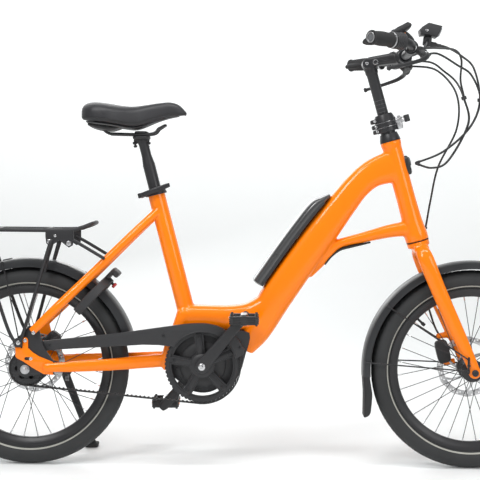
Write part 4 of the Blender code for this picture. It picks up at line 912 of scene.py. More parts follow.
def make_belt_drive():
    path, starts = belt_path()
    rings = []
    for x, z, nx, nz, phase in path:
        tooth = 0.0024 * max(0.0, math.cos(TURN * phase)) ** 0.6
        low, high = -0.0012 - tooth, 0.0016
        rings.append([at(x + nx * s, z + nz * s, BELT_Y + w * 0.0055)
                      for s, w in ((low, -1), (high, -1), (high, 1), (low, 1))])
    piece("toothed_belt", skin(rings, True), "frame", RUBBER, ["drive_belt"], angle=28)
    windows = []
    for i in range(5):
        low = math.radians(25 + 72 * i) + 0.16
        high = math.radians(25 + 72 * (i + 1)) - 0.16
        windows.append([around(0.0785, low + (high - low) * k / 14) for k in range(15)]
                       + [around(0.033, high - 0.16 - (high - low - 0.32) * k / 8) for k in range(9)])
    ring_mesh = toothed((CRANK_X, CRANK_Z), RING_RADIUS - 0.0002, RING_TEETH, *starts[1], BELT_Y - 0.005,
                        BELT_Y + 0.005, [*windows, circle(0, 0, 0.0124, 32)])
    piece("belt_wheel", ring_mesh, "crank", BLACK, ["belt_ring"], angle=30)
    guide = ring(0.083, 0.0925, BELT_Y - 0.0072, BELT_Y - 0.005, CRANK, 96)
    arms, bolts = [], []
    for i in range(5):
        turn = CRANK @ spin(-math.radians(25 + 72 * i))
        arms.append(pad((0.062, 0.015, 0.006), turn @ shift(0.056, 0, BELT_Y - 0.0052), 5.0))
        bolts.append(bolt(turn @ shift(0.074, 0, BELT_Y - 0.008) @ spin(math.pi, "X"), 0.0046, 0.002))
    cap = lathe([(0.0124, BELT_Y - 0.006), (0.03, BELT_Y - 0.005), (0.03, BELT_Y - 0.0086),
                 (0.027, BELT_Y - 0.0105), (0.02, BELT_Y - 0.0125), (0.0124, BELT_Y - 0.0125)], CRANK, 64)
    piece("belt_wheel_guide", guide, "crank", SATIN, bevel=0.0004)
    piece("belt_wheel_arms", merged(*arms), "crank", BLACK, bevel=0.0005)
    piece("belt_wheel_cap", cap, "crank", SATIN, angle=30)
    piece("belt_wheel_bolts", merged(*bolts), "crank", DARK_STEEL)
    holes = [circle(0, 0, 0.0085, 24)] + [circle(*around(0.024, TURN * k / 6), 0.0062, 16) for k in range(6)]
    pulley = toothed((0, AXLE_Z), PULLEY_RADIUS - 0.0002, PULLEY_TEETH, *starts[0], BELT_Y - 0.005,
                     BELT_Y + 0.005, holes)
    piece("belt_pulley", pulley, "pulley", BLACK, ["rear_pulley"], angle=30)
    piece("belt_pulley_flange", ring(0.03, 0.045, BELT_Y + 0.0052, BELT_Y + 0.007, REAR, 72), "pulley", BLACK)
    piece("belt_pulley_nut", ring(0.0078, 0.017, BELT_Y - 0.0085, BELT_Y - 0.005, REAR, 40), "pulley",
          BLACK, bevel=0.0004)


def make_motor():
    outline = ([(CRANK_X - 0.084, 0.3), (CRANK_X - 0.086, 0.27), (CRANK_X - 0.08, 0.238)]
               + circle(CRANK_X, CRANK_Z, 0.074, 20, math.radians(222), math.radians(300))
               + [(0.516, 0.216), (0.535, 0.232), (0.546, 0.246), (0.552, 0.262), (0.557, 0.282),
                  (0.562, 0.3), (0.568, 0.32), (0.572, 0.338), (0.57, 0.35), (0.55, 0.356),
                  (0.5, 0.356), (0.4, 0.352), (0.388, 0.34), (0.384, 0.325)])
    piece("motor_shell", cut_sheet([outline], side_view(0.005), 0.082, 0.0035), "frame", SATIN,
                  ["motor_housing"], angle=40)
    covers = [
        lathe([(0.013, -0.0435), (0.024, -0.0435), (0.026, -0.042), (0.043, -0.0415), (0.056, -0.0395),
               (0.0605, -0.036), (0.0605, -0.034), (0.013, -0.034)], CRANK, 96),
        lathe([(0.013, 0.044), (0.0605, 0.044), (0.0605, 0.047), (0.056, 0.051), (0.025, 0.053),
               (0.0235, 0.0575), (0.013, 0.058)], CRANK, 96),
    ]
    piece("motor_covers", merged(*covers), "frame", PLASTIC, bevel=0.0004, angle=30)
    screws = []
    for i in range(7):
        x, z = around(0.0675, math.radians(165 + 24 * i), CRANK_X, CRANK_Z)
        screws.append(bolt(rightward(x, z, -0.0358), 0.0033, 0.0022))
        screws.append(bolt(lateral(x, z, 0.0458), 0.0033, 0.0022))
    for x, z in ((0.545, 0.3), (0.535, 0.338), (0.405, 0.338)):
        screws.append(bolt(rightward(x, z, -0.0358), 0.0045, 0.003))
        screws.append(bolt(lateral(x, z, 0.0458), 0.0045, 0.003))
    piece("motor_screws", merged(*screws), "frame", DARK_STEEL)
    seam = ring(0.0735, 0.0748, -0.0008, 0.0008, CRANK, 96, 0.0003)
    piece("motor_seam", seam, "frame", RUBBER)


def guard_edges():
    lower = [(0.024, 0.303), (0.12, 0.3095), (0.241, 0.317), (0.297, 0.321), (0.34, 0.3205)]
    lower += circle(CRANK_X, CRANK_Z, 0.086, 30, math.radians(146), math.radians(12))
    upper = [(0.556, 0.3), (0.556, 0.312), (0.549, 0.327), (0.539, 0.34), (0.514, 0.357), (0.49, 0.37),
             (0.46, 0.3765), (0.43, 0.3765), (0.4, 0.374), (0.323, 0.363), (0.241, 0.351), (0.13, 0.338),
             (0.03, 0.327), (0.022, 0.322), (0.02, 0.312)]
    return lower, upper


def make_guard():
    lower, upper = guard_edges()
    piece("guard_plate", cut_sheet([lower + upper], side_view(-0.0628), 0.0036, 0.001), "frame", PLASTIC,
          ["belt_guard"], angle=25)
    top = [(x, z - 0.0016, -0.056, 0.0011, 0.007) for x, z in reversed(upper[1:-2])]
    piece("guard_roof", sweep(top, 12, 4, squareness=4.0, domed=0.5), "frame", PLASTIC)
    rib = [(x, z, -0.0644, 0.0012, 0.0009)
           for x, z in circle(CRANK_X, CRANK_Z, 0.0885, 14, math.radians(140), math.radians(16))]
    piece("guard_rib", sweep(rib, 10, 3, domed=0.5), "frame", PLASTIC)
    screws = [bolt(rightward(x, z, -0.0645), 0.0038, 0.0022) for x, z in ((0.06, 0.318), (0.352, 0.345),
            (0.545, 0.316))]
    piece("guard_screws", merged(*screws), "frame", DARK_STEEL)


def make_crank(side, name):
    angle = CRANK_ANGLE if side < 0 else CRANK_ANGLE + math.pi
    face = 0.068 if side < 0 else 0.066
    c, s = math.cos(angle), math.sin(angle)
    px, pz = CRANK_X + CRANK_LENGTH * c, CRANK_Z + CRANK_LENGTH * s
    arm = sweep([
        (CRANK_X - 0.012 * c, CRANK_Z - 0.012 * s, side * (face + 0.007), 0.013, 0.0064),
        (CRANK_X, CRANK_Z, side * (face + 0.007), 0.0178, 0.007),
        (CRANK_X + 0.035 * c, CRANK_Z + 0.035 * s, side * (face + 0.008), 0.016, 0.007),
        (CRANK_X + 0.12 * c, CRANK_Z + 0.12 * s, side * (face + 0.013), 0.0125, 0.0062),
        (px - 0.006 * c, pz - 0.006 * s, side * (face + 0.0155), 0.0132, 0.0062),
        (px + 0.011 * c, pz + 0.011 * s, side * (face + 0.016), 0.0085, 0.0056),
    ], 36, 8, squareness=3.4, domed=0.7)
    nodes = ["crank_right"] if side < 0 else ["crank_left"]
    piece(f"crank_arm_{name}", arm, "crank", SATIN, nodes, angle=35)
    outward = outwards(side)
    metal = [bolt(outward(CRANK_X, CRANK_Z, side * (face + 0.0135)), 0.0088, 0.0022),
             bolt(outward(px, pz, side * (face + 0.021)), 0.0055, 0.001)]
    piece(f"crank_bolts_{name}", merged(*metal), "crank", SILVER)
    spindle = disc(0.0075, side * (face + 0.022), side * 0.0985, lateral(px, pz), 24)
    shaft = disc(0.012, side * 0.043, side * (face + 0.002), lateral(CRANK_X, CRANK_Z), 32)
    piece(f"pedal_spindle_{name}", merged(spindle, shaft), "crank", STEEL)
    make_pedal(side, name, px, pz)


def make_pedal(side, name, px, pz):
    """A platform pedal: a bearing barrel, a cage with grip ribs, rubber pads and amber reflectors."""
    body = f"pedal_{name}"
    up = frame_along(at(px, pz, side * 0.137), (0, 0, 1), (1, 0, 0))
    cage = [pad((0.01, 0.082, 0.023), up @ shift(dx, 0, 0), 6.0) for dx in (-0.0305, 0.0305)]
    cage += [pad((0.07, 0.011, 0.021), up @ shift(0, side * dy, 0), 6.0) for dy in (-0.0335, 0.034)]
    cage.append(disc(0.0125, side * 0.098, side * 0.176, lateral(px, pz), 36, 0.002))
    piece(f"pedal_cage_{name}", merged(*cage), body, PLASTIC, [body], bevel=0.0006, angle=35)
    ribs = []
    for i in range(4):
        z = -0.0078 + 0.0052 * i
        ribs.append(pad((0.068, 0.003, 0.0026), up @ shift(0, side * 0.0392, z), 4.0))
        for dx in (-0.0355, 0.0355):
            ribs.append(pad((0.0016, 0.02, 0.0026), up @ shift(dx, side * 0.027, z), 4.0))
            ribs.append(pad((0.0016, 0.02, 0.0026), up @ shift(dx, -side * 0.027, z), 4.0))
    piece(f"pedal_ribs_{name}", merged(*ribs), body, RUBBER)
    studs = []
    for dx in (-0.0305, 0.0305):
        for dy in (-0.03, -0.015, 0.0, 0.015, 0.03):
            for z in (-0.0125, 0.0125):
                studs.append(pad((0.006, 0.005, 0.003), up @ shift(dx, dy, z), 4.0, 16))
    piece(f"pedal_studs_{name}", merged(*studs), body, RUBBER)
    lamps = [pad((0.0034, 0.05, 0.011), up @ shift(dx, 0, 0), 5.0) for dx in (-0.0362, 0.0362)]
    piece(f"pedal_reflectors_{name}", merged(*lamps), body, REFLECTOR)
    cover = frame_along(at(px, pz, side * 0.1758), (0, side, 0))
    cap = lathe([(0.0094, 0.0), (0.0088, 0.0014), (0.006, 0.0018), (0.0002, 0.0018)], cover, 32, closed=False)
    piece(f"pedal_cap_{name}", cap, body, PLASTIC)
    plates = [pad((0.016, 0.05, 0.0016), up @ shift(0, 0, z), 5.0) for z in (-0.0132, 0.0132)]
    piece(f"pedal_top_{name}", merged(*plates), body, STEEL)


make_belt_drive()
make_motor()
make_guard()
make_crank(-1, "right")
make_crank(1, "left")


# ---------------------------------------------------------------- fenders, rack, lock and stand

FENDER_STAY_REACH = 0.2755


def fender_profile(edge):
    """The fender's section down to its edge, its outer skin and then its inner one."""
    half = [(edge, 0.0325), (0.27, 0.0322), (0.2765, 0.0306), (0.2796, 0.025), (0.2811, 0.013), (0.2815, 0.0)]
    outer = [(r, -y) for r, y in half] + [(r, y) for r, y in reversed(half[:-1])]
    return outer + [(max(r - 0.0016, edge), y * 0.945) for r, y in reversed(outer)]


def fender(name, centre, edge, start, end, body, nodes):
    piece(name, arch(fender_profile(edge), centre, start, end, 90), body, SMOOTH_PLASTIC, nodes, angle=40)
    angles = [math.radians(start + 0.3 + (end - start - 0.6) * k / 30) for k in range(31)]
    edges = [rod([(*around(edge, a, *centre), y) for a in angles], 0.0013, 8, 2) for y in (-0.0318, 0.0318)]
    piece(name + "_edges", merged(*edges), body, SMOOTH_PLASTIC)


def make_rear_trim():
    fender("rear_fender_arch", (0, AXLE_Z), 0.259, 13, 196, "frame", ["rear_fender"])
    stays = []
    for side in (-1, 1):
        end = (*around(FENDER_STAY_REACH, math.radians(104), 0, AXLE_Z), side * 0.0325)
        stays.append(rod([end, (end[0] + 0.006, end[1] - 0.02, side * 0.0355),
                          (-0.023, 0.37, side * 0.0735), (-0.016, 0.333, side * 0.0745)], 0.0017, 10, 4))
        for b in (104, 60, 150):
            turn = lateral(*around(FENDER_STAY_REACH, math.radians(b), 0, AXLE_Z), side * 0.0322)
            stays.append(disc(0.0045, 0, side * 0.0022, turn, 16, 0.0006))
    piece("rear_fender_stays", merged(*stays), "frame", DARK_STEEL)
    crest = frame_along(at(-0.06, AXLE_Z + FENDER_STAY_REACH), (-0.2, 0, 0.98))
    piece("rear_fender_tab", pad((0.026, 0.022, 0.0036), crest, 3.0), "frame", PLASTIC)
    make_caliper("rear", (0.046, 0.316, 0.0535), -0.9, (0.046, 0.034), 1, 0.011, "frame")


def make_caliper(which, place, turn, size, outward, inner, body):
    """A two-piston disc caliper: halves either side of the disc, a bridge outside it, pistons and bolts."""
    base = lateral(*place) @ spin(turn)
    slot_half, outer = 0.0018, 0.011
    spans = ((-slot_half - inner, -slot_half), (slot_half, slot_half + outer))
    solids = [pad((size[0], size[1], high - low), base @ shift(0, 0, (low + high) / 2), 4.5, 36, 0.4)
              for low, high in spans]
    solids.append(pad((size[0] * 0.24, size[1] * 0.8, inner + outer),
                      base @ shift(outward * size[0] * 0.37, 0, (outer - inner) / 2), 4.0))
    piece(which + "_caliper_body", merged(*solids), body, SATIN, [which + "_caliper"], bevel=0.0006)
    face = slot_half + outer
    piston = lathe([(0.01, face), (0.0096, face + 0.0022), (0.006, face + 0.0026), (0.0002, face + 0.0022)],
                   base, 36, closed=False)
    piece(which + "_caliper_piston", piston, body, BLACK)
    along = (1, 0) if size[0] > size[1] else (0, 1)
    reach = max(size) * 0.4
    bolts = [bolt(base @ shift(end * reach * along[0], end * reach * along[1], face), 0.0036, 0.0026)
             for end in (-1, 1)]
    piece(which + "_caliper_bolts", merged(*bolts), body, SILVER)


def make_rack():
    deck_z, half = 0.611, 0.056
    right = [(-0.262, deck_z, -half), (-0.08, deck_z, -half), (0.1, deck_z, -half),
             (0.138, deck_z + 0.006, -half + 0.002), (0.164, deck_z + 0.016, -half + 0.014)]
    left = [(x, z, -y) for x, z, y in reversed(right)]
    loop = (right + [(0.17, deck_z + 0.019, 0.0)] + left
            + [(-0.282, deck_z, half - 0.014), (-0.284, deck_z, 0.0), (-0.282, deck_z, -half + 0.014)])
    tubes = [rod(loop, 0.005, 16, 6, (0, 0, 1), True)]
    for y in (-0.026, 0.026):
        tubes.append(rod([(-0.283, deck_z + 0.001, y), (-0.05, deck_z + 0.001, y), (0.11, deck_z + 0.001, y),
                          (0.14, deck_z + 0.007, y), (0.168, deck_z + 0.018, y)], 0.0032, 12, 4))
    for x in (-0.2, -0.08, 0.05):
        tubes.append(rod([(x, deck_z + 0.001, -half), (x, deck_z + 0.001, half)], 0.0042, 14, 1, (0, 0, 1)))
    plates, bolts, feet = [], [], []
    for side in (-1, 1):
        y = side * (half + 0.004)
        bracket = [(0.05, 0.612), (0.05, 0.595), (0.052, 0.578), (0.06, 0.57), (0.072, 0.576),
                   (0.086, 0.586), (0.1, 0.574), (0.11, 0.567), (0.12, 0.573), (0.122, 0.588), (0.122, 0.612)]
        plates.append(cut_sheet([bracket], side_view(y), 0.003, 0.0006))
        front = [(0.066, 0.586, y), (0.056, 0.556, side * 0.066), (0.004, 0.372, side * 0.0805),
                 (-0.012, 0.327, side * 0.0805)]
        rear = [(-0.126, 0.609, y - side * 0.003), (-0.118, 0.588, side * 0.066),
                (-0.046, 0.372, side * 0.08), (-0.02, 0.324, side * 0.0805)]
        brace = [(0.072, 0.592, y - side * 0.004), (0.056, 0.54, side * 0.056), (0.046, 0.505, side * 0.044)]
        stay = [(0.11, 0.59, side * 0.057), (0.134, 0.578, side * 0.0565), (0.1985, 0.54, side * 0.0562)]
        tubes += [rod(front, 0.0045, 14), rod(rear, 0.0045, 14), rod(brace, 0.0036, 12),
                  rod(stay, 0.0042, 14)]
        feet.append(pad((0.02, 0.024, 0.006), frame_along(at(-0.015, 0.326, side * 0.08), (0, 1, 0))))
        outward = outwards(side)
        for x, z, size in ((0.061, 0.582, 0.0068), (0.11, 0.578, 0.0068), (0.075, 0.597, 0.0038)):
            bolts.append(bolt(outward(x, z, y + side * 0.0014), size, size * 0.5))
        bolts.append(bolt(outward(-0.015, 0.326, side * 0.0828), 0.006, 0.0032))
    piece("rack_tubes", merged(*tubes), "frame", SATIN, ["rack"])
    piece("rack_brackets", merged(*plates), "frame", BLACK, angle=25)
    piece("rack_feet", merged(*feet), "frame", SATIN, bevel=0.0005)
    piece("rack_bolts", merged(*bolts), "frame", SILVER)


LOCK_RADIUS = 0.066
LOCK = frame_along(at(0.1577, 0.432), (0.727, 0, -0.686), (0.686, 0, 0.727))
LOCK_OPENING = math.radians(112)


def turned_part(profile, matrix, start, sweep_angle, steps):
    """A profile of (radius, along) turned part of a turn about local Z, with flat ends."""
    angles = [start + sweep_angle * i / steps for i in range(steps + 1)]
    return skin([[matrix @ polar(r, a, h) for r, h in profile] for a in angles])


def make_lock():
    """The ring lock is a horseshoe with a slot for its shackle, and a head that holds the cylinder."""
    start = -math.pi + LOCK_OPENING / 2
    profile = [(0.059, -0.0095), (0.0615, -0.012), (0.0715, -0.012), (0.074, -0.0095), (0.074, 0.0085),
               (0.0722, 0.011), (0.0708, 0.011), (0.0708, -0.0005), (0.0612, -0.0005), (0.0612, 0.011),
               (0.0604, 0.011), (0.059, 0.0085)]
    piece("lock_horseshoe", turned_part(profile, LOCK, start, TURN - LOCK_OPENING, 96), "frame", PLASTIC,
          ["lock_body"], angle=30)
    head = [pad((0.036, 0.06, 0.0105), LOCK @ shift(0.0835, 0, -0.0067), 5.0, 40, 0.3),
            pad((0.016, 0.06, 0.017), LOCK @ shift(0.0935, 0, 0.003), 5.0, 40, 0.3)]
    piece("lock_head", merged(*head), "frame", PLASTIC, bevel=0.0006)
    cylinder = frame_along(LOCK @ Vector((0.09, -0.03, -0.002)), LOCK.to_3x3() @ Vector((0, -1, 0)))
    barrel = [(0.006, 0.0), (0.006, 0.0012), (0.0052, 0.0016), (0.0052, 0.0006), (0.0002, 0.0006)]
    piece("lock_cylinder", lathe(barrel, cylinder, 36, closed=False), "frame", DARK_STEEL, angle=30)
    piece("lock_keyhole", pad((0.0012, 0.005, 0.001), cylinder @ shift(0, 0, 0.0008), 3.0, 16), "frame",
          RUBBER)
    reach = math.radians(124)
    first = start + math.radians(1)
    bar = [around(0.0038, TURN * k / 16, LOCK_RADIUS, 0.004) for k in range(16)]
    knob_turn = LOCK @ spin(first + reach - 0.08) @ shift(LOCK_RADIUS, 0, 0)
    piece("lock_bar", turned_part(bar, LOCK, first, reach, 72), "lock_ring", STEEL, ["lock_shackle"],
          angle=50)
    piece("lock_knob_stem", disc(0.0036, 0.004, 0.017, knob_turn, 20), "lock_ring", PLASTIC)
    piece("lock_knob", pad((0.015, 0.015, 0.008), knob_turn @ shift(0, 0, 0.02), 3.0),
          "lock_ring", RED, bevel=0.0004)


def make_stand():
    x, z, y = 0.07, 0.236, 0.09
    bracket = cut_sheet([[(0.03, 0.234), (0.04, 0.225), (0.052, 0.22), (0.072, 0.2195), (0.092, 0.222),
                          (0.097, 0.232), (0.094, 0.2455), (0.06, 0.2462), (0.04, 0.244)]],
                        side_view(0.069), 0.02, 0.002)
    piece("stand_bracket", bracket, "frame", SATIN, ["kickstand_bracket"], angle=35)
    piece("stand_bolt", bolt(lateral(x, z, 0.0965), 0.007, 0.0034), "frame", SILVER)
    leg = sweep([(x, z, y, 0.0115, 0.0068), (x + 0.004, 0.226, y + 0.002, 0.0105, 0.007),
                 (x + 0.008, 0.208, y + 0.006, 0.011, 0.0068), (x + 0.034, 0.118, 0.134, 0.01, 0.0066),
                 (x + 0.058, 0.03, 0.176, 0.0082, 0.0068), (x + 0.063, 0.016, 0.183, 0.008, 0.0075)],
                28, 6, squareness=2.5)
    piece("stand_leg", merged(leg, disc(0.0125, 0.0797, 0.0963, lateral(x, z), 40, 0.0012)), "kickstand",
          SATIN, ["kickstand_leg"], angle=35)
    foot = sweep([(x + 0.046, 0.0066, 0.189, 0.0062, 0.018), (x + 0.054, 0.0068, 0.189, 0.0064, 0.02),
                  (x + 0.07, 0.0068, 0.189, 0.0064, 0.02), (x + 0.078, 0.0066, 0.189, 0.0062, 0.018)], 36,
                 3, squareness=4, domed=0.4)
    cup = sweep([(x + 0.06, 0.023, 0.1795, 0.01, 0.0092), (x + 0.0635, 0.012, 0.185, 0.0105, 0.011)], 28, 2)
    piece("stand_foot", merged(foot, cup), "kickstand", RUBBER, angle=35)
    coil = [(x + 0.01 + 0.0046 * math.cos(k * 0.7), 0.228 - 0.00042 * k, 0.0865 + 0.0046 * math.sin(k * 0.7))
            for k in range(64)]
    piece("stand_spring", rod(coil, 0.0008, 8, 1, (0, 0, 1)), "kickstand", STEEL)


# ---------------------------------------------------------------- battery

def battery_line(offset):
    """The battery's middle line, this far off the down tube's upper side."""
    edge = [(0.6044, 0.4683), (0.662, 0.552), (0.705, 0.6115), (0.745, 0.662), (0.763, 0.683), (0.778, 0.7)]
    points = []
    for i, (x, z) in enumerate(edge):
        before, after = edge[max(i - 1, 0)], edge[min(i + 1, len(edge) - 1)]
        dx, dz = after[0] - before[0], after[1] - before[1]
        size = math.hypot(dx, dz)
        points.append((x - dz / size * offset, z + dx / size * offset))
    return points


def make_battery():
    lifts = (0.0172, 0.0172, 0.0172, 0.0172, 0.0115, 0.0072)
    halves = (0.016, 0.016, 0.016, 0.016, 0.0105, 0.0045)
    widths = (0.0355, 0.036, 0.036, 0.0355, 0.033, 0.029)
    line = [battery_line(lift)[i] for i, lift in enumerate(lifts)]
    rows = [(x, z, 0, half, width) for (x, z), half, width in zip(line, halves, widths)]
    piece("battery_case", sweep(rows, 64, 12, squareness=2.5, domed=0.3), "battery", GLOSSY_PLASTIC,
          ["battery"], angle=50)
    skirt = [(x, z, 0, 0.0052, width - 0.0012) for (x, z), width in zip(battery_line(0.0064), widths)]
    piece("battery_skirt", sweep(skirt[:5], 64, 12, squareness=6.0), "battery", PLASTIC, angle=50)
    along = (at(*line[2]) - at(*line[1])).normalized()
    up = Vector((-along.z, 0, along.x))
    pods = []
    for k in range(5):
        spot = at(*line[1]) + along * (0.012 + 0.007 * k) + up * 0.015
        pods.append(disc(0.0014, 0, 0.0007, frame_along(spot, up), 12))
    piece("battery_gauge", merged(*pods), "battery", LENS)
    key = frame_along(at(*line[0]) + along * 0.014 + Vector((0, 0.0355, 0)), (0, 1, 0))
    lock = lathe([(0.008, 0.0), (0.008, 0.0016), (0.0068, 0.0022), (0.0002, 0.0016)], key, 32, closed=False)
    piece("battery_lock", lock, "battery", SILVER)


make_rear_trim()
make_rack()
make_lock()
make_stand()
make_battery()


# ---------------------------------------------------------------- seat

SADDLE_STATIONS = (
    # x, half width, top, bottom
    (0.1395, 0.048, 0.924, 0.891), (0.1435, 0.063, 0.932, 0.884), (0.155, 0.078, 0.938, 0.88),
    (0.175, 0.091, 0.94, 0.877), (0.205, 0.092, 0.937, 0.874), (0.235, 0.079, 0.932, 0.87),
    (0.265, 0.06, 0.93, 0.866), (0.29, 0.045, 0.933, 0.87), (0.33, 0.032, 0.94, 0.886),
    (0.36, 0.026, 0.943, 0.895), (0.384, 0.022, 0.935, 0.9), (0.398, 0.016, 0.922, 0.903),
    (0.406, 0.009, 0.913, 0.905),
)


def saddle_skin(inset=0.0):
    """The saddle cover: a crowned top that rolls down to its lower edge, open channel along the middle."""
    rings = []
    rows = spline(SADDLE_STATIONS, 4)
    for x, half, top, bottom in rows:
        half, top, bottom = half - inset, top - inset, bottom + inset * 0.4
        ring_points = []
        for k in range(48):
            a = TURN * (k + 0.5) / 48
            c, s = math.cos(a), math.sin(a)
            power = 2.5 if s > 0 else 5.0
            reach = (abs(c) ** power + abs(s) ** power) ** (-1 / power)
            y, rise = half * reach * c, reach * s
            z = (top + bottom) / 2 + rise * (top - bottom) / 2
            if s > 0:
                length = max(0.0, min(1.0, (x - 0.165) / 0.03, (0.375 - x) / 0.03))
                z -= 0.0035 * math.exp(-(y / 0.0085) ** 2) * length
            else:
                z += 0.016 * max(0.0, 1 - (y / max(half, 1e-4)) ** 2) * min(1.0, half / 0.05)
            ring_points.append(at(x, z, y))
        rings.append(ring_points)
    return skin(rings)


def inflate(obj, pressure, most):
    """Fills the cover with a short cloth simulation that swells it between its seams."""
    scene = bpy.context.scene
    start = [v.co.copy() for v in obj.data.vertices]
    cloth = obj.modifiers.new("cloth", "CLOTH")
    cloth.settings.quality = 6
    cloth.settings.mass = 0.25
    cloth.settings.tension_stiffness = 30
    cloth.settings.compression_stiffness = 30
    cloth.settings.shear_stiffness = 12
    cloth.settings.bending_stiffness = 3
    cloth.settings.use_pressure = True
    cloth.settings.uniform_pressure_force = pressure
    cloth.settings.effector_weights.gravity = 0.0
    cloth.settings.vertex_group_mass = "held"
    cloth.point_cache.frame_start = 1
    cloth.point_cache.frame_end = 20
    for number in range(1, 21):
        scene.frame_set(number)
    graph = bpy.context.evaluated_depsgraph_get()
    settled = bpy.data.meshes.new_from_object(obj.evaluated_get(graph))
    moved = [v.co.copy() for v in settled.vertices]
    obj.modifiers.clear()
    for vert, before, after in zip(obj.data.vertices, start, moved):
        step = after - before
        if step.length > most:
            step = step.normalized() * most
        vert.co = before + step
    bpy.data.meshes.remove(settled)
    scene.frame_set(1)


def make_saddle():
    cover = piece("saddle_cover", saddle_skin(0.0015), "seat", LEATHER, angle=70)
    remesh = cover.modifiers.new("even", "REMESH")
    remesh.mode = "VOXEL"
    remesh.voxel_size = 0.0045
    even = baked(cover, LEATHER)
    held = cover.vertex_groups.new(name="held")
    for vert in even.vertices:
        y, z = vert.co.y, vert.co.z
        x = vert.co.x - REAR_HUB.x
        low = min(SADDLE_STATIONS, key=lambda row: abs(row[0] - x))
        along_channel = abs(y) < 0.006 and 0.17 < x < 0.37 and z > low[3] + 0.02
        if z < low[3] + 0.0075 or along_channel:
            held.add([vert.index], 1.0, "REPLACE")
    inflate(cover, 4.0, 0.006)
    even.shade_smooth()
    fine = cover.modifiers.new("fine", "SUBSURF")
    fine.levels = fine.render_levels = 1
    relax = cover.modifiers.new("relax", "SMOOTH")
    relax.factor = 0.4
    relax.iterations = 2
    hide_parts("saddle_cushion")
    rows = spline([(x, half, (top + bottom) / 2 - (top - bottom) * 0.22)
                   for x, half, top, bottom in SADDLE_STATIONS], 3)
    line = [(x, z, half + 0.001) for x, half, z in rows[3:-2]]
    both = [(x, z, -y) for x, z, y in line] + [(x, z, y) for x, z, y in reversed(line)]
    piece("saddle_piping", rod(both, 0.0011, 8, 1, (0, 0, 1), False, 0.4), "seat", RUBBER)
    shell_rows = [(x, half - 0.009, bottom + 0.009, bottom + 0.003)
                  for x, half, _, bottom in SADDLE_STATIONS[2:-2]]
    rings = []
    for x, half, top, bottom in spline(shell_rows, 4):
        rings.append([at(x, (top + bottom) / 2 + s * (top - bottom) / 2, half * c) for c, s in oval(40, 3.4)])
    tray = sweep([(0.157, 0.881, 0, 0.004, 0.056), (0.168, 0.878, 0, 0.007, 0.06),
                  (0.188, 0.8745, 0, 0.0085, 0.056), (0.211, 0.872, 0, 0.0075, 0.048),
                  (0.232, 0.874, 0, 0.0035, 0.038)], 40, 5, squareness=3.0, domed=0.5)
    piece("saddle_pan", merged(skin(rings), tray), "seat", PLASTIC, ["saddle_shell"], angle=45)
    places = [at(0.166 + 0.014 * k, 0.879 - 0.0008 * k, side * (0.059 - 0.002 * k))
              for k in range(4) for side in (-1, 1)]
    vents = [pad((0.006, 0.003, 0.006), frame_along(place, (0, 0, 1)), 3.0, 16) for place in places]
    piece("saddle_vents", merged(*vents), "seat", RUBBER)


def make_seat():
    make_saddle()
    rails = [(0.192, 0.87, -0.034), (0.204, 0.86, -0.028), (0.222, 0.8578, -0.022),
             (0.312, 0.8578, -0.022), (0.334, 0.872, -0.018), (0.348, 0.88, -0.009), (0.35, 0.8805, 0.0)]
    both = rails + [(x, z, -y) for x, z, y in reversed(rails[:-1])]
    piece("saddle_rail_wire", rod(both, 0.0035, 16, 8, (0, 0, 1)), "seat", DARK_STEEL, ["saddle_rails"])
    clamp = frame_along(at(0.288, 0.847), (0, 0, 1))
    yokes = [pad((0.044, 0.056, 0.0095), clamp @ shift(0, 0, 0.002), 4.0, 40),
             pad((0.034, 0.058, 0.006), clamp @ shift(0, 0, 0.015), 4.0, 40),
             lathe([(0.015, -0.011), (0.017, -0.006), (0.017, 0.0), (0.013, 0.004)], clamp, 48, closed=False)]
    piece("saddle_clamp_yokes", merged(*yokes), "seat", SATIN, ["saddle_clamp"], bevel=0.0008)
    bolts = []
    for x, lean in ((-0.0185, -0.12), (0.0185, 0.12)):
        turn = clamp @ shift(x, 0, 0) @ spin(lean, "Y")
        bolts += [disc(0.0026, -0.023, 0.014, turn, 16), disc(0.0062, -0.015, -0.0085, turn, 24, 0.0012),
                  bolt(turn @ shift(0, 0, -0.018) @ spin(math.pi, "X"), 0.0048, 0.0055)]
    piece("saddle_clamp_bolts", merged(*bolts), "seat", BLACK)
    low = seat_matrix(0.5)

    def length(z):
        return (z - 0.5) / SEAT_AXIS.z

    post = [(POST_RADIUS - 0.001, 0.0), (POST_RADIUS, 0.001), (POST_RADIUS, length(0.78)),
            (POST_RADIUS - 0.0006, length(0.7835)), (0.0132, length(0.799)), (0.0127, length(0.803)),
            (0.0127, length(0.833)), (0.0155, length(0.841)), (0.0155, length(0.844))]
    piece("seat_post_tube", lathe(post, low, 72, closed=False), "seat", BLACK, ["seat_post"], angle=25)
    marks = [ring(POST_RADIUS - 0.0005, POST_RADIUS + 0.00025, length(z), length(z) + 0.0009, low, 48, 0.0001)
             for z in (0.764, 0.769, 0.774)]
    piece("seat_post_marks", merged(*marks), "seat", SATIN)
    make_seat_lever()


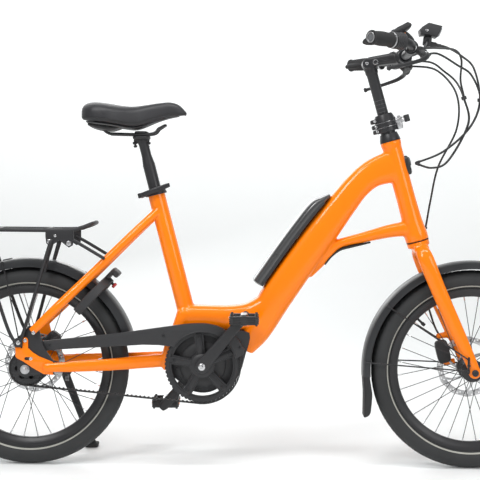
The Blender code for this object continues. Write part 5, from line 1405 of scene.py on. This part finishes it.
def make_seat_lever():
    collar = seat_matrix(SEAT_TOP[1] - 0.006)
    path = [(-0.04, -0.014, 0.0, 0.0046), (-0.033, -0.025, 0.0005, 0.0056),
            (-0.024, -0.0325, 0.001, 0.006), (-0.008, -0.0365, 0.0028, 0.0062),
            (0.01, -0.0372, 0.0045, 0.0062), (0.03, -0.0362, 0.0068, 0.0062), (0.042, -0.035, 0.008, 0.005)]
    rows = spline(path, 6)
    points = [collar @ Vector(p[:3]) for p in rows]
    up = collar.to_3x3() @ Vector((0, 0, 1))
    rings = []
    for i, point in enumerate(points):
        ahead = (points[min(i + 1, len(points) - 1)] - points[max(i - 1, 0)]).normalized()
        out = ahead.cross(up).normalized()
        rings.append([point + out * (0.0023 * c) + up * (rows[i][3] * s) for c, s in oval(20, 3.0)])
    pivot = collar @ shift(-0.04, -0.014, 0)
    piece("seat_lever_blade", merged(skin(rings), disc(0.0062, -0.0064, 0.0064, pivot, 32, 0.001)),
          "seat_lever", BLACK, ["seat_clamp_lever"], angle=40)
    across = frame_along(collar @ Vector((-0.038, 0.009, 0)), collar.to_3x3() @ Vector((0, 1, 0)))
    nut = lathe([(0.006, 0.0), (0.0074, 0.001), (0.0074, 0.006), (0.006, 0.0072)], across, 32, closed=False)
    rod_through = disc(0.0026, -0.022, 0.0, across, 16)
    piece("seat_lever_nut", merged(nut, rod_through), "frame", STEEL, angle=30)


make_seat()


# ---------------------------------------------------------------- fork and front trim

def make_fork():
    steerer = frame_along(at(*HEAD_BOTTOM), HEAD_AXIS)
    solids = []
    for side in (-1, 1):
        solids.append(sweep([
            (1.008, 0.566, side * 0.03, 0.017, 0.014), (1.016, 0.545, side * 0.05, 0.02, 0.0125),
            (1.046, 0.472, side * 0.0525, 0.0195, 0.0125), (1.0895, 0.376, side * 0.054, 0.0185, 0.012),
            (1.126, 0.298, side * 0.0575, 0.0155, 0.0095), (1.142, 0.26, side * 0.0615, 0.014, 0.0048),
        ], 32, 8, squareness=2.3))
        solids.append(disc(0.0155, side * 0.057, side * 0.0655, FRONT, 40))
    solids.append(sweep([(1.008, 0.569, -0.036, 0.0125, 0.019), (1.008, 0.569, 0.0, 0.014, 0.021),
                         (1.008, 0.569, 0.036, 0.0125, 0.019)], 32, 4, (1, 0, 0), 2.6))
    solids.append(lathe([(0.0285, -0.015), (0.029, -0.005), (0.029, -0.0012)], steerer, 48, closed=False))
    for x, z in ((1.067, 0.335), (1.086, 0.265)):
        solids.append(sweep([(x + 0.026, z + 0.004, 0.056, 0.0085, 0.0065),
                             (x + 0.006, z, 0.059, 0.008, 0.006),
                             (x - 0.004, z - 0.002, 0.06, 0.0075, 0.0055)], 20, 4))
    welded("fork_legs", solids, "fork", ORANGE, ["fork"], 0.0022, 6,
           cuts=[disc(0.0063, -0.1, 0.1, FRONT, 32)])
    tube = lathe([(STEERER_RADIUS, 0.0), (STEERER_RADIUS, 0.314), (STEERER_RADIUS - 0.0008, 0.315),
                  (STEM_RADIUS + 0.0005, 0.315), (STEM_RADIUS + 0.0005, 0.0)], steerer, 56)
    piece("fork_steerer", tube, "fork", BLACK)
    piece("fork_crown_race", ring(STEERER_RADIUS + 0.0006, 0.0296, -0.0012, -0.0002, steerer, 56, 0.0003),
          "fork", RUBBER)
    make_caliper("front", (1.077, 0.296, 0.0415), -0.25, (0.034, 0.06), -1, 0.0068, "fork")
    mounts = [bolt(lateral(x, z, 0.064), 0.0045, 0.0034) for x, z in ((1.066, 0.334), (1.085, 0.264))]
    mounts.append(bolt(frame_along(at(0.993, 0.57), (-0.96, 0, -0.27)) @ shift(0, 0, -0.004), 0.005, 0.004))
    piece("fork_bolts", merged(*mounts), "fork", SILVER)


# The mudflap from its top to its foot: its height and reach at the back, then at the front of its side walls.
FLAP = (
    (0.256, 0.8626, 0.24, 0.88), (0.24, 0.863, 0.23, 0.8808), (0.22, 0.8645, 0.215, 0.8834),
    (0.198, 0.8662, 0.198, 0.886), (0.188, 0.8664, 0.189, 0.8867), (0.165, 0.8663, 0.165, 0.8848),
    (0.144, 0.8662, 0.147, 0.883), (0.138, 0.8661, 0.1395, 0.8796), (0.1348, 0.866, 0.1356, 0.8745),
    (0.1336, 0.866, 0.1338, 0.8695),
)


def flap_ring(back_z, back, front_z, front):
    """One level of the flap: a thin U, open to the tyre."""
    half, sheet = 0.0312, 0.0019
    corner = min(0.0075, (front - back) * 0.8)
    turns = [math.radians(15 * k) for k in range(7)]

    def wall(edge_y, radius):
        bend = [(back + corner - radius * math.sin(t), corner - half - radius * math.cos(t)) for t in turns]
        return [(front, edge_y)] + bend

    outer, inner = wall(-half, corner), wall(sheet - half, corner - sheet)
    shape = outer + [(x, -y) for x, y in reversed(outer)] + [(x, -y) for x, y in inner] + inner[::-1]
    fall = (front_z - back_z) / (front - back)
    return [at(x, back_z + fall * (x - back), y) for x, y in shape]


def make_front_fender():
    fender("front_fender_arch", (WHEELBASE, AXLE_Z), 0.262, 66, 184, "fork", ["front_fender"])
    flap = skin([flap_ring(*row) for row in FLAP])
    piece("front_mudflap", flap, "fork", RUBBER, angle=50)
    stays, screws = [], []
    rail_x, rail_y, reach = 1.125, 0.07, 0.2735
    for side in (-1, 1):
        for angle, rail_z, rise in ((176, 0.262, 0.002), (143, 0.29, 0.02)):
            end = (*around(reach, math.radians(angle), WHEELBASE, AXLE_Z), side * 0.0335)
            stays.append(rod([(rail_x, rail_z, side * rail_y),
                              (rail_x - 0.03, rail_z + rise, side * (rail_y - 0.0005)), end], 0.0018, 12, 8))
            screws.append(disc(0.0042, 0, side * 0.0026, lateral(end[0], end[1], side * 0.0322), 16, 0.0006))
        stays.append(rod([(rail_x, 0.256, side * rail_y), (rail_x, 0.296, side * rail_y)], 0.0028, 12, 1))
        outward = outwards(side)
        screws.append(bolt(outward(rail_x, 0.276, side * 0.071), 0.0046, 0.003))
    piece("front_fender_stays", merged(*stays), "fork", DARK_STEEL)
    piece("front_fender_screws", merged(*screws), "fork", BLACK)


def make_stem_clamp():
    """The stem's quick clamp: stacked black collars, a silver block in front and a lever beside it."""
    place = head_matrix(0.887)
    collars = [
        lathe([(STEERER_RADIUS + 0.0006, -0.02), (0.0252, -0.02), (0.0262, -0.019), (0.0262, -0.009),
               (0.0254, -0.0082), (STEERER_RADIUS + 0.0006, -0.0082)], place, 72),
        lathe([(STEERER_RADIUS + 0.0006, -0.0072), (0.0272, -0.0072), (0.028, -0.0062), (0.028, 0.004),
               (0.027, 0.005), (STEERER_RADIUS + 0.0006, 0.005)], place, 72),
        lathe([(STEM_RADIUS + 0.0008, 0.006), (0.0262, 0.006), (0.027, 0.007), (0.025, 0.019),
               (0.0225, 0.025), (0.0205, 0.026), (STEM_RADIUS + 0.0008, 0.026)], place, 72),
    ]
    piece("stem_collars", merged(*collars), "fork", BLACK, ["stem_clamp"], bevel=0.0004, angle=30)
    ears = [pad((0.02, 0.026, depth), place @ shift(-0.027, 0, z), 4.0)
            for z, depth in ((-0.0135, 0.0105), (-0.001, 0.011), (0.0135, 0.011))]
    piece("stem_clamp_ears", merged(*ears), "fork", SATIN, bevel=0.0006)
    screws = [bolt(place @ shift(-0.027, -0.012, z) @ spin(math.pi / 2, "X"), 0.0036, 0.0026)
              for z in (-0.0135, -0.001, 0.0135)]
    spacer = [ring(STEERER_RADIUS + 0.0006, 0.0256, -0.0082, -0.0072, place, 64, 0.0002),
              ring(STEERER_RADIUS + 0.0006, 0.0256, 0.005, 0.006, place, 64, 0.0002)]
    piece("stem_clamp_rings", merged(*spacer, *screws), "fork", SILVER)
    ahead = frame_along(place.translation, place.to_3x3() @ Vector((1, 0, 0)), (0, 1, 0))
    block = [pad((0.03, 0.028, 0.013), place @ shift(0.036, 0, 0.001), 3.6, 36),
             pad((0.018, 0.024, 0.034), place @ shift(0.033, 0, -0.004), 3.6, 36),
             disc(0.004, 0.048, 0.06, ahead, 20)]
    piece("stem_clamp_block", merged(*block), "fork", STEEL, bevel=0.001)
    lever = place @ shift(0.056, 0, 0.001)
    blade = []
    path = [(0.0, 0.0, 0.0052, 0.0052), (0.003, 0.012, 0.0058, 0.005), (0.005, 0.032, 0.006, 0.0042),
            (0.003, 0.052, 0.006, 0.004), (0.0, 0.0605, 0.0045, 0.0034)]
    for x, y, half, wide in spline(path, 6):
        blade.append([lever @ Vector((x + wide * c, y, half * s)) for c, s in oval(24, 3.2)])
    piece("stem_lever_blade", merged(skin(blade), disc(0.0074, -0.009, 0.009, lever, 36, 0.0012)),
          "stem_lever", PLASTIC, ["stem_clamp_lever"], angle=40)


make_fork()
make_front_fender()
make_stem_clamp()


# ---------------------------------------------------------------- cockpit

BAR_HALF = [(0.957, 1.056, 0.0), (0.957, 1.056, 0.06), (0.958, 1.058, 0.12), (0.957, 1.062, 0.165),
            (0.95, 1.066, 0.195), (0.93, 1.069, 0.22), (0.8505, 1.069, 0.2915)]


def grip_frame(side):
    """The frame at the start of a grip, z outwards along it and x upwards, with the grip's length."""
    (x0, z0, y0), (x1, z1, y1) = BAR_HALF[-2:]
    start, end = at(x0, z0, side * y0), at(x1, z1, side * y1)
    return frame_along(start, end - start, (0, 0, 1)), (end - start).length


def make_stem():
    foot = at(*HEAD_BOTTOM)
    top = foot + HEAD_AXIS * ((1.038 - HEAD_BOTTOM[1]) / HEAD_AXIS.z)
    place = frame_along(top, HEAD_AXIS)
    length = (1.038 - 0.69) / HEAD_AXIS.z
    profile = [(0.0, -length), (0.0136, -length), (STEM_RADIUS, -length + 0.0008), (STEM_RADIUS, -0.0275),
               (0.0158, -0.023), (0.0165, -0.022), (0.0165, -0.001), (0.0158, 0.0), (0.0, 0.0)]
    piece("stem_tube", lathe([(max(r, 0.0002), z) for r, z in profile], place, 64, closed=False), "cockpit",
          BLACK, ["stem_post"], angle=30)
    marks = [ring(STEM_RADIUS - 0.0002, STEM_RADIUS + 0.0002, z, z + 0.0006, place, 56, 0.0001)
             for z in (-0.095, -0.105, -0.115, -0.125)]
    piece("stem_height_marks", merged(*marks), "cockpit", GREY)
    arm = sweep([(0.87, 1.0452, 0.0, 0.012, 0.018), (0.885, 1.047, 0.0, 0.0132, 0.019),
                 (0.915, 1.052, 0.0, 0.0138, 0.019), (0.94, 1.0558, 0.0, 0.015, 0.02)], 40, 8,
                squareness=3.2, domed=0.5)
    boss = disc(0.013, -0.0185, 0.0185, lateral(0.866, 1.04), 40, 0.0014)
    solids = [arm, disc(0.0215, -0.023, 0.023, lateral(0.957, 1.056), 56, 0.0014),
              disc(0.0178, -0.013, 0.008, place, 48, 0.0012), boss]
    groove = [pad((0.036, 0.0065, 0.004), lateral(0.913, 1.05, y) @ spin(0.2), 6.0)
              for y in (-0.0205, 0.0205)]
    slit = box((0.0008, 0.03, 0.08), lateral(0.948, 1.07) @ spin(-0.2))
    welded("stem_arm", solids, "cockpit", BLACK, ["stem_head"], 0.0014, 5,
           cuts=[disc(0.0143, -0.05, 0.05, lateral(0.957, 1.056), 48), slit, *groove])
    heads = []
    for y in (-0.013, 0.013):
        upper = frame_along(at(0.96, 1.0768, y), (0.1, 0, 1))
        heads += [bolt(upper, 0.0048, 0.004), ring(0.0052, 0.0068, -0.0006, 0.0012, upper, 28, 0.0003)]
    heads += [ring(0.005, 0.0072, -0.0006, 0.0016, side(0.886, 1.044, y), 32, 0.0004)
              for side, y in ((rightward, -0.018), (lateral, 0.018))]
    heads += [bolt(side(0.864, 1.04, y), 0.0044, 0.0022)
              for side, y in ((rightward, -0.018), (lateral, 0.018))]
    heads.append(bolt(place @ shift(0, 0, 0.0078), 0.0058, 0.0032))
    piece("stem_bolts", merged(*heads), "cockpit", SILVER)
    piece("stem_cap", disc(0.0125, 0.0076, 0.0098, place, 40, 0.0008), "cockpit", SATIN)


def make_bar():
    path = [(x, z, -y) for x, z, y in reversed(BAR_HALF[1:])] + BAR_HALF
    radii = [0.014 if abs(y) < 0.03 else BAR_RADIUS for _, _, y in path]
    rows = [(x, z, y, r, r) for (x, z, y), r in zip(path, radii)]
    swell = ((-0.05, BAR_RADIUS), (-0.036, 0.0138), (0.0, 0.014), (0.036, 0.0138), (0.05, BAR_RADIUS))
    thick = [(0.957, 1.056, y, r, r) for y, r in swell]
    inner = [row for row in rows if abs(row[2]) > 0.055]
    half = len(inner) // 2
    piece("handlebar_tube", sweep(inner[:half] + thick + inner[half:], 40, 8, side=(0, 0, 1)), "cockpit",
          BLACK, ["handlebar"], angle=50)


def palm_rest(start, side, length):
    """The wing of a grip, which carries the palm on its back."""
    back = start.to_3x3().inverted() @ Vector((-0.72, side * -0.6, -0.22)).normalized()
    across = Vector((back.x, back.y, 0)).normalized()
    normal = Vector((-across.y, across.x, 0))
    rows = []
    for share, reach, wide, deep in (
        (0.58, 0.01, 0.009, 0.004), (0.64, 0.013, 0.017, 0.006), (0.72, 0.016, 0.021, 0.007),
        (0.84, 0.017, 0.0225, 0.0072), (0.96, 0.016, 0.0205, 0.0068), (1.02, 0.013, 0.015, 0.005),
        (1.04, 0.01, 0.009, 0.0036),
    ):
        centre = across * reach + Vector((0, 0, share * length))
        rows.append([start @ (centre + across * wide * c + normal * deep * s) for c, s in oval(36, 2.6)])
    return skin(rows)


def make_grip(side, name, first):
    start, length = grip_frame(side)
    low, high = first * length, 1.05 * length
    bore = BAR_RADIUS + 0.0004
    profile = [(bore, low), (0.0172, low), (0.018, low + 0.001), (0.018, low + 0.006), (0.016, low + 0.007)]
    ribs = 30
    for k in range(ribs):
        z = low + 0.008 + (high - low - 0.016) * k / (ribs - 1)
        swell = 0.0156 + 0.0018 * math.sin(math.pi * (z - low) / (high - low)) ** 2
        profile.append((swell - (0.0005 if k % 2 else 0.0), z))
    profile += [(0.017, high - 0.006), (0.0172, high - 0.0012), (0.0162, high), (bore, high)]
    welded(name + "_rubber", [lathe(profile, start, 56), palm_rest(start, side, length)], "cockpit", RUBBER,
           [name], 0.0012, 3, cuts=[disc(bore, low - 0.05, 1.03 * length, start, 48)])
    rings = [ring(0.0096, 0.0124, high + 0.0002, high + 0.002, start, 48, 0.0004),
             ring(0.0181, 0.0188, low + 0.0012, low + 0.0056, start, 48, 0.0004)]
    piece(name + "_end_ring", merged(*rings), "cockpit", STEEL)
    cap = disc(0.0092, high - 0.003, high + 0.0012, start, 40, 0.0008)
    piece(name + "_end_cap", cap, "cockpit", GREY)
    collar = start @ shift(0, 0, low + 0.0035) @ spin(-1.2)
    spot = collar @ shift(0.0178, 0, 0) @ spin(math.pi / 2, "Y")
    piece(name + "_clamp_bolt", bolt(spot, 0.0026, 0.0016), "cockpit", SILVER)


def make_shifter():
    start, length = grip_frame(-1)
    low, high = 0.02 * length, 0.335 * length
    bore = BAR_RADIUS + 0.0008
    profile = [(bore, low), (0.0182, low), (0.0206, low + 0.0016), (0.021, low + 0.006), (0.02, low + 0.0075)]
    ribs = 9
    for k in range(ribs):
        z = low + 0.009 + (high - low - 0.0115) * k / (ribs - 1)
        profile.append((0.0196 - (0.0009 if k % 2 else 0.0), z))
    profile += [(0.019, high - 0.0008), (0.018, high), (bore, high)]
    piece("shifter_collar", lathe(profile, start, 64), "shifter", PLASTIC, ["shifter_sleeve"], angle=30)
    index = start @ shift(0, 0, low + 0.003) @ spin(-0.5)
    mark = pad((0.004, 0.0014, 0.0014), index @ shift(0.0205, 0, 0), 3.0, 16)
    piece("shifter_index", mark, "shifter", ORANGE)


def make_brake_mount(side, name):
    x, z, y = BAR_HALF[3]
    clamp = lateral(x, z, side * y)
    flow = frame_along(at(x, z, side * y), (-0.19, side * 0.95, 0.1), (0, 0, 1))
    piece(name + "_band", ring(0.0126, 0.0174, -0.0068, 0.0062, flow, 56, 0.001), "cockpit", BLACK, [name])
    ears = [pad((0.018, 0.013, 0.011), clamp @ shift(0.018, 0.003, 0), 3.6)]
    bracket = sweep([(x + 0.015, z - 0.006, side * y, 0.0085, 0.0065),
                     (x + 0.032, z - 0.018, side * (y + 0.006), 0.01, 0.008),
                     (x + 0.0325, z - 0.0215, side * (y + 0.016), 0.0095, 0.008),
                     (x + 0.032, z - 0.022, side * (y + 0.026), 0.0085, 0.0075)], 28, 6, squareness=2.6)
    cylinder = sweep([(x + 0.03, z - 0.018, side * (y + 0.008), 0.0086, 0.0086),
                      (x + 0.032, z - 0.0165, side * (y - 0.015), 0.0088, 0.0088),
                      (x + 0.034, z - 0.015, side * (y - 0.033), 0.0092, 0.0092),
                      (x + 0.035, z - 0.0145, side * (y - 0.042), 0.0076, 0.0076),
                      (x + 0.036, z - 0.014, side * (y - 0.052), 0.0058, 0.0058)], 28, 6, side=(0, 0, 1))
    welded(name + "_body", [bracket, cylinder, *ears], "cockpit", PLASTIC, (), 0.0013, 5,
           cuts=[disc(0.0178, -0.012, 0.012, flow, 40)])
    pivot = frame_along(at(x + 0.032, z - 0.013, side * (y + 0.026)), (0.12, 0, 1))
    screws = [bolt(pivot @ shift(0, 0, -0.0012), 0.0036, 0.0026),
              bolt(frame_along(at(x + 0.0268, z + 0.0028, side * y), (1, 0, 0.15)), 0.0032, 0.0026)]
    piece(name + "_screws", merged(*screws), "cockpit", SILVER)
    cover = frame_along(at(x + 0.0325, z - 0.006, side * (y - 0.011)), (0.05, 0, 1), (0, 1, 0))
    piece(name + "_lid", pad((0.034, 0.012, 0.0022), cover, 4.0), "cockpit", BLACK, bevel=0.0004)


def make_brake_lever(side, name, body):
    px, pz, py = 0.989, 1.04, 0.203
    rows = [(px, pz, side * py, 0.0055, 0.007), (px - 0.002, pz - 0.006, side * (py + 0.016), 0.005, 0.006),
            (px - 0.015, pz - 0.015, side * (py + 0.032), 0.0048, 0.0052),
            (px - 0.04, pz - 0.024, side * (py + 0.05), 0.0046, 0.0046),
            (px - 0.07, pz - 0.0325, side * (py + 0.068), 0.0046, 0.0044),
            (px - 0.098, pz - 0.04, side * (py + 0.084), 0.005, 0.0042),
            (px - 0.1, pz - 0.0405, side * (py + 0.0855), 0.0066, 0.0066)]
    blade = sweep(rows, 28, 8, side=(0, 0, 1), squareness=2.4, domed=0.9)
    piece(name + "_blade", blade, body, SATIN, [name], angle=50)


def make_display():
    panel = frame_along(at(0.95, 1.1265), (-0.46, 0, 0.888), (0.888, 0, 0.46))
    piece("display_case", pad((0.056, 0.086, 0.015), panel, 5.0, 44, 0.4), "cockpit", PLASTIC, ["display"],
          bevel=0.0012)
    glass = panel @ shift(0.005, 0, 0.0074)
    piece("display_glass", pad((0.041, 0.074, 0.0018), glass, 6.0, 40, 0.1), "cockpit", GLASS, bevel=0.0003)
    keys = [pad((0.006, 0.016, 0.0016), panel @ shift(-0.0215, y, 0.0076), 3.0, 24)
            for y in (-0.024, 0.0, 0.024)]
    piece("display_keys", merged(*keys), "cockpit", RUBBER, bevel=0.0003)
    arms = [sweep([(0.95, 1.122, y, 0.0052, 0.0044), (0.966, 1.112, y, 0.0052, 0.0044),
                   (0.978, 1.098, y, 0.0052, 0.0048), (0.9765, 1.086, y, 0.0056, 0.0056),
                   (0.97, 1.074, y * 1.3, 0.0056, 0.0056)], 24, 6, squareness=2.6) for y in (-0.0245, 0.0245)]
    bands = [ring(0.0122, 0.0172, -0.006, 0.006, lateral(0.957, 1.056, y), 48, 0.0008)
             for y in (-0.044, 0.044)]
    arms.append(rod([(0.976, 1.086, -0.04), (0.976, 1.086, 0.04)], 0.0058, 20, 2))
    arms += [rod([(0.976, 1.086, y), (0.968, 1.07, y * 1.04)], 0.0052, 16, 2) for y in (-0.04, 0.04)]
    piece("display_bracket", merged(*arms, *bands), "cockpit", SMOOTH_PLASTIC, angle=40)
    screws = [bolt(outwards(side)(0.9765, 1.087, side * 0.029), 0.0036, 0.0024) for side in (-1, 1)]
    piece("display_screws", merged(*screws), "cockpit", SILVER)


def make_headlight():
    """A boxy lamp with a hood over its lens, on a bracket from the bar, with its cable's plug below."""
    outline = [(0.9975, 1.127), (1.004, 1.134), (1.02, 1.144), (1.055, 1.1355), (1.042, 1.1075),
               (1.018, 1.114), (1.0, 1.113)]
    piece("headlight_shell", cut_sheet([outline], side_view(0), 0.044, 0.003), "cockpit", PLASTIC,
          ["headlight"], angle=35)
    front = frame_along(at(1.0492, 1.1212), (0.907, 0, -0.421), (0, 1, 0))
    mirror = pad((0.037, 0.024, 0.0022), front @ shift(0, 0, 0.0004), 4.0, 40)
    piece("headlight_reflector", mirror, "cockpit", STEEL, bevel=0.0004)
    lens = pad((0.035, 0.022, 0.0036), front @ shift(0, 0, 0.002), 4.0, 40, 0.5)
    piece("headlight_lens", lens, "cockpit", LENS, bevel=0.0006)
    plug = frame_along(at(1.028, 1.0905), (0.985, 0, -0.17))
    mount = [pad((0.022, 0.02, 0.026), frame_along(at(1.019, 1.099), (0.1, 0, 1)), 4.0),
             lathe([(0.0075, 0.0), (0.008, 0.002), (0.008, 0.013), (0.006, 0.015), (0.006, 0.025),
                    (0.004, 0.029)], plug, 32, closed=False)]
    piece("headlight_mount", merged(*mount), "cockpit", PLASTIC, bevel=0.0006)
    bracket = sweep([(1.022, 1.108, 0, 0.005, 0.008), (1.018, 1.096, -0.006, 0.0048, 0.007),
                     (1.012, 1.082, -0.015, 0.0046, 0.0062), (1.0, 1.072, -0.024, 0.0046, 0.0058),
                     (0.985, 1.064, -0.032, 0.005, 0.0058), (0.974, 1.06, -0.033, 0.005, 0.0052)],
                    24, 6, squareness=2.6)
    band = ring(0.0142, 0.0178, -0.0056, 0.0056, lateral(0.957, 1.056, -0.031), 48, 0.0008)
    piece("headlight_bracket", merged(bracket, band), "cockpit", SMOOTH_PLASTIC, angle=40)
    screws = [bolt(outwards(side)(1.015, 1.124, side * 0.0218), 0.0036, 0.0018) for side in (-1, 1)]
    piece("headlight_screw", merged(*screws), "cockpit", SILVER)


def make_remote():
    case = frame_along(at(0.946, 1.076, 0.125), (-0.3, 0, 0.95), (0.95, 0, 0.3))
    shell = pad((0.03, 0.034, 0.013), case, 3.6, 40, 0.6)
    band = ring(0.0124, 0.0164, -0.009, 0.009, lateral(0.958, 1.0585, 0.125), 48, 0.0008)
    piece("remote_case", merged(shell, band), "cockpit", PLASTIC, ["remote_pad"], bevel=0.001)
    button = case @ shift(0, 0, 0.0085)
    piece("remote_key", pad((0.016, 0.022, 0.004), button, 3.0, 36, 0.5), "mode_button", RUBBER,
          ["remote_button"], bevel=0.0006)


make_stem()
make_bar()
make_grip(-1, "grip_right", 0.36)
make_grip(1, "grip_left", 0.02)
make_shifter()
make_brake_mount(-1, "brake_mount_right")
make_brake_mount(1, "brake_mount_left")
make_brake_lever(-1, "brake_lever_right", "brake_right")
make_brake_lever(1, "brake_lever_left", "brake_left")
make_display()
make_headlight()
make_remote()


# ---------------------------------------------------------------- cables

TIE_OUTER, TIE_INNER, TIE_LOW = (1.156, 0.95), (1.115, 0.955), (1.078, 0.796)
CABLE_RADIUS = 0.0026
OUTER_TAIL, INNER_TAIL = ((1.131, 0.88), (1.064, 0.818)), ((1.127, 0.89), TIE_LOW, (1.036, 0.776))
PORT = (0.9925, 0.788)
# Each cable: its way from the bar, the tie that holds it, the way below that, and its place in the bundle.
CABLES = [
    ([(0.993, 1.048, -0.1125), (1.03, 1.056, -0.098), (1.088, 1.033, -0.052), (1.129, 1.01, -0.025)],
     TIE_OUTER, OUTER_TAIL, -0.003),
    ([(0.96, 1.048, -0.262), (1.015, 1.058, -0.19), (1.072, 1.064, -0.105),
      (1.096, 1.045, -0.062), (1.102, 0.999, -0.02)], TIE_INNER, INNER_TAIL, -0.003),
    ([(1.056, 1.086, 0.0), (1.078, 1.08, 0.001), (1.108, 1.062, 0.002), (1.14, 1.03, 0.003)],
     TIE_OUTER, OUTER_TAIL, 0.003),
    ([(0.975, 1.06, 0.112), (1.04, 1.056, 0.088), (1.073, 1.028, 0.055), (1.099, 0.998, 0.025)],
     TIE_INNER, INNER_TAIL, 0.003),
]
BRAKE_HOSE = [
    (0.993, 1.048, 0.1125), (1.058, 1.035, 0.09), (1.104, 0.97, 0.05), (1.104, 0.88, 0.035),
    (1.058, 0.78, 0.04), (1.04, 0.69, 0.048), (1.03, 0.62, 0.06), (1.018, 0.56, 0.072),
    (1.03, 0.46, 0.072), (1.055, 0.37, 0.07), (1.071, 0.336, 0.064),
]


def tube(rows, radius):
    """A round tube through rows (x, z, y), turned as little as possible from one ring to the next."""
    path = [at(*row) for row in rows]
    rings, across = [], Vector((0, 1, 0))
    for k, point in enumerate(path):
        along = (path[min(k + 1, len(path) - 1)] - path[max(k - 1, 0)]).normalized()
        across = (across - along * across.dot(along)).normalized()
        up = along.cross(across)
        rings.append([point + across * radius * c + up * radius * s for c, s in oval(14, 2.0)])
    return skin(rings)


def make_cables():
    """Four cables from the bar to the port in the head tube, and the brake's hose down to the fork."""
    upper, lower, boots, ferrules = [], [], [], []
    for way, tie, tail, y in CABLES:
        rows = spline(way + [(*tie, y)] + [(*point, y) for point in tail] + [(*PORT, y * 0.6)], 12)
        split = 12 * (len(way) + 1)
        upper.append(tube(rows[:split + 1], CABLE_RADIUS))
        lower.append(tube(rows[split:], CABLE_RADIUS))
        first, second = at(*way[0]), at(*way[1])
        boots.append(lathe([(0.0032, 0.0), (0.0046, 0.0006), (0.0044, 0.012), (0.0034, 0.02),
                            (0.003, 0.0205)], frame_along(first, second - first), 20, closed=False))
        port, before = at(*rows[-1]), at(*rows[-6])
        ferrules.append(disc(0.0036, 0.002, 0.013, frame_along(port, before - port), 18, 0.0006))
    above = piece("cables_upper", merged(*upper), None, HOSE, ["cable_loom"])
    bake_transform(above)
    below = piece("cables_lower", merged(*lower), None, HOSE)
    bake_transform(below)
    piece("cable_boots", merged(*boots), "cockpit", RUBBER)
    piece("cable_ferrules", merged(*ferrules), "frame", SATIN)
    hose = piece("fork_brake_hose", tube(spline(BRAKE_HOSE, 12), CABLE_RADIUS), None, HOSE, ["fork_hose"])
    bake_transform(hose)
    ties = []
    for (x, z), direction in ((TIE_OUTER, (0.06, 0, -1)), (TIE_INNER, (0.32, 0, -0.95))):
        place = frame_along(at(x, z), direction, (0, 1, 0))
        ties.append(lathe([(0.0057, -0.0045), (0.0068, -0.004), (0.0068, 0.004), (0.0057, 0.0045)], place,
                          28))
    hold = frame_along(at(1.03, 0.62, 0.06), (-0.15, 0.18, -1))
    ties.append(lathe([(0.0028, -0.0022), (0.0046, -0.0022), (0.0046, 0.0022), (0.0028, 0.0022)], hold, 24))
    piece("cable_ties", merged(*ties), "fork", PLASTIC)


make_cables()
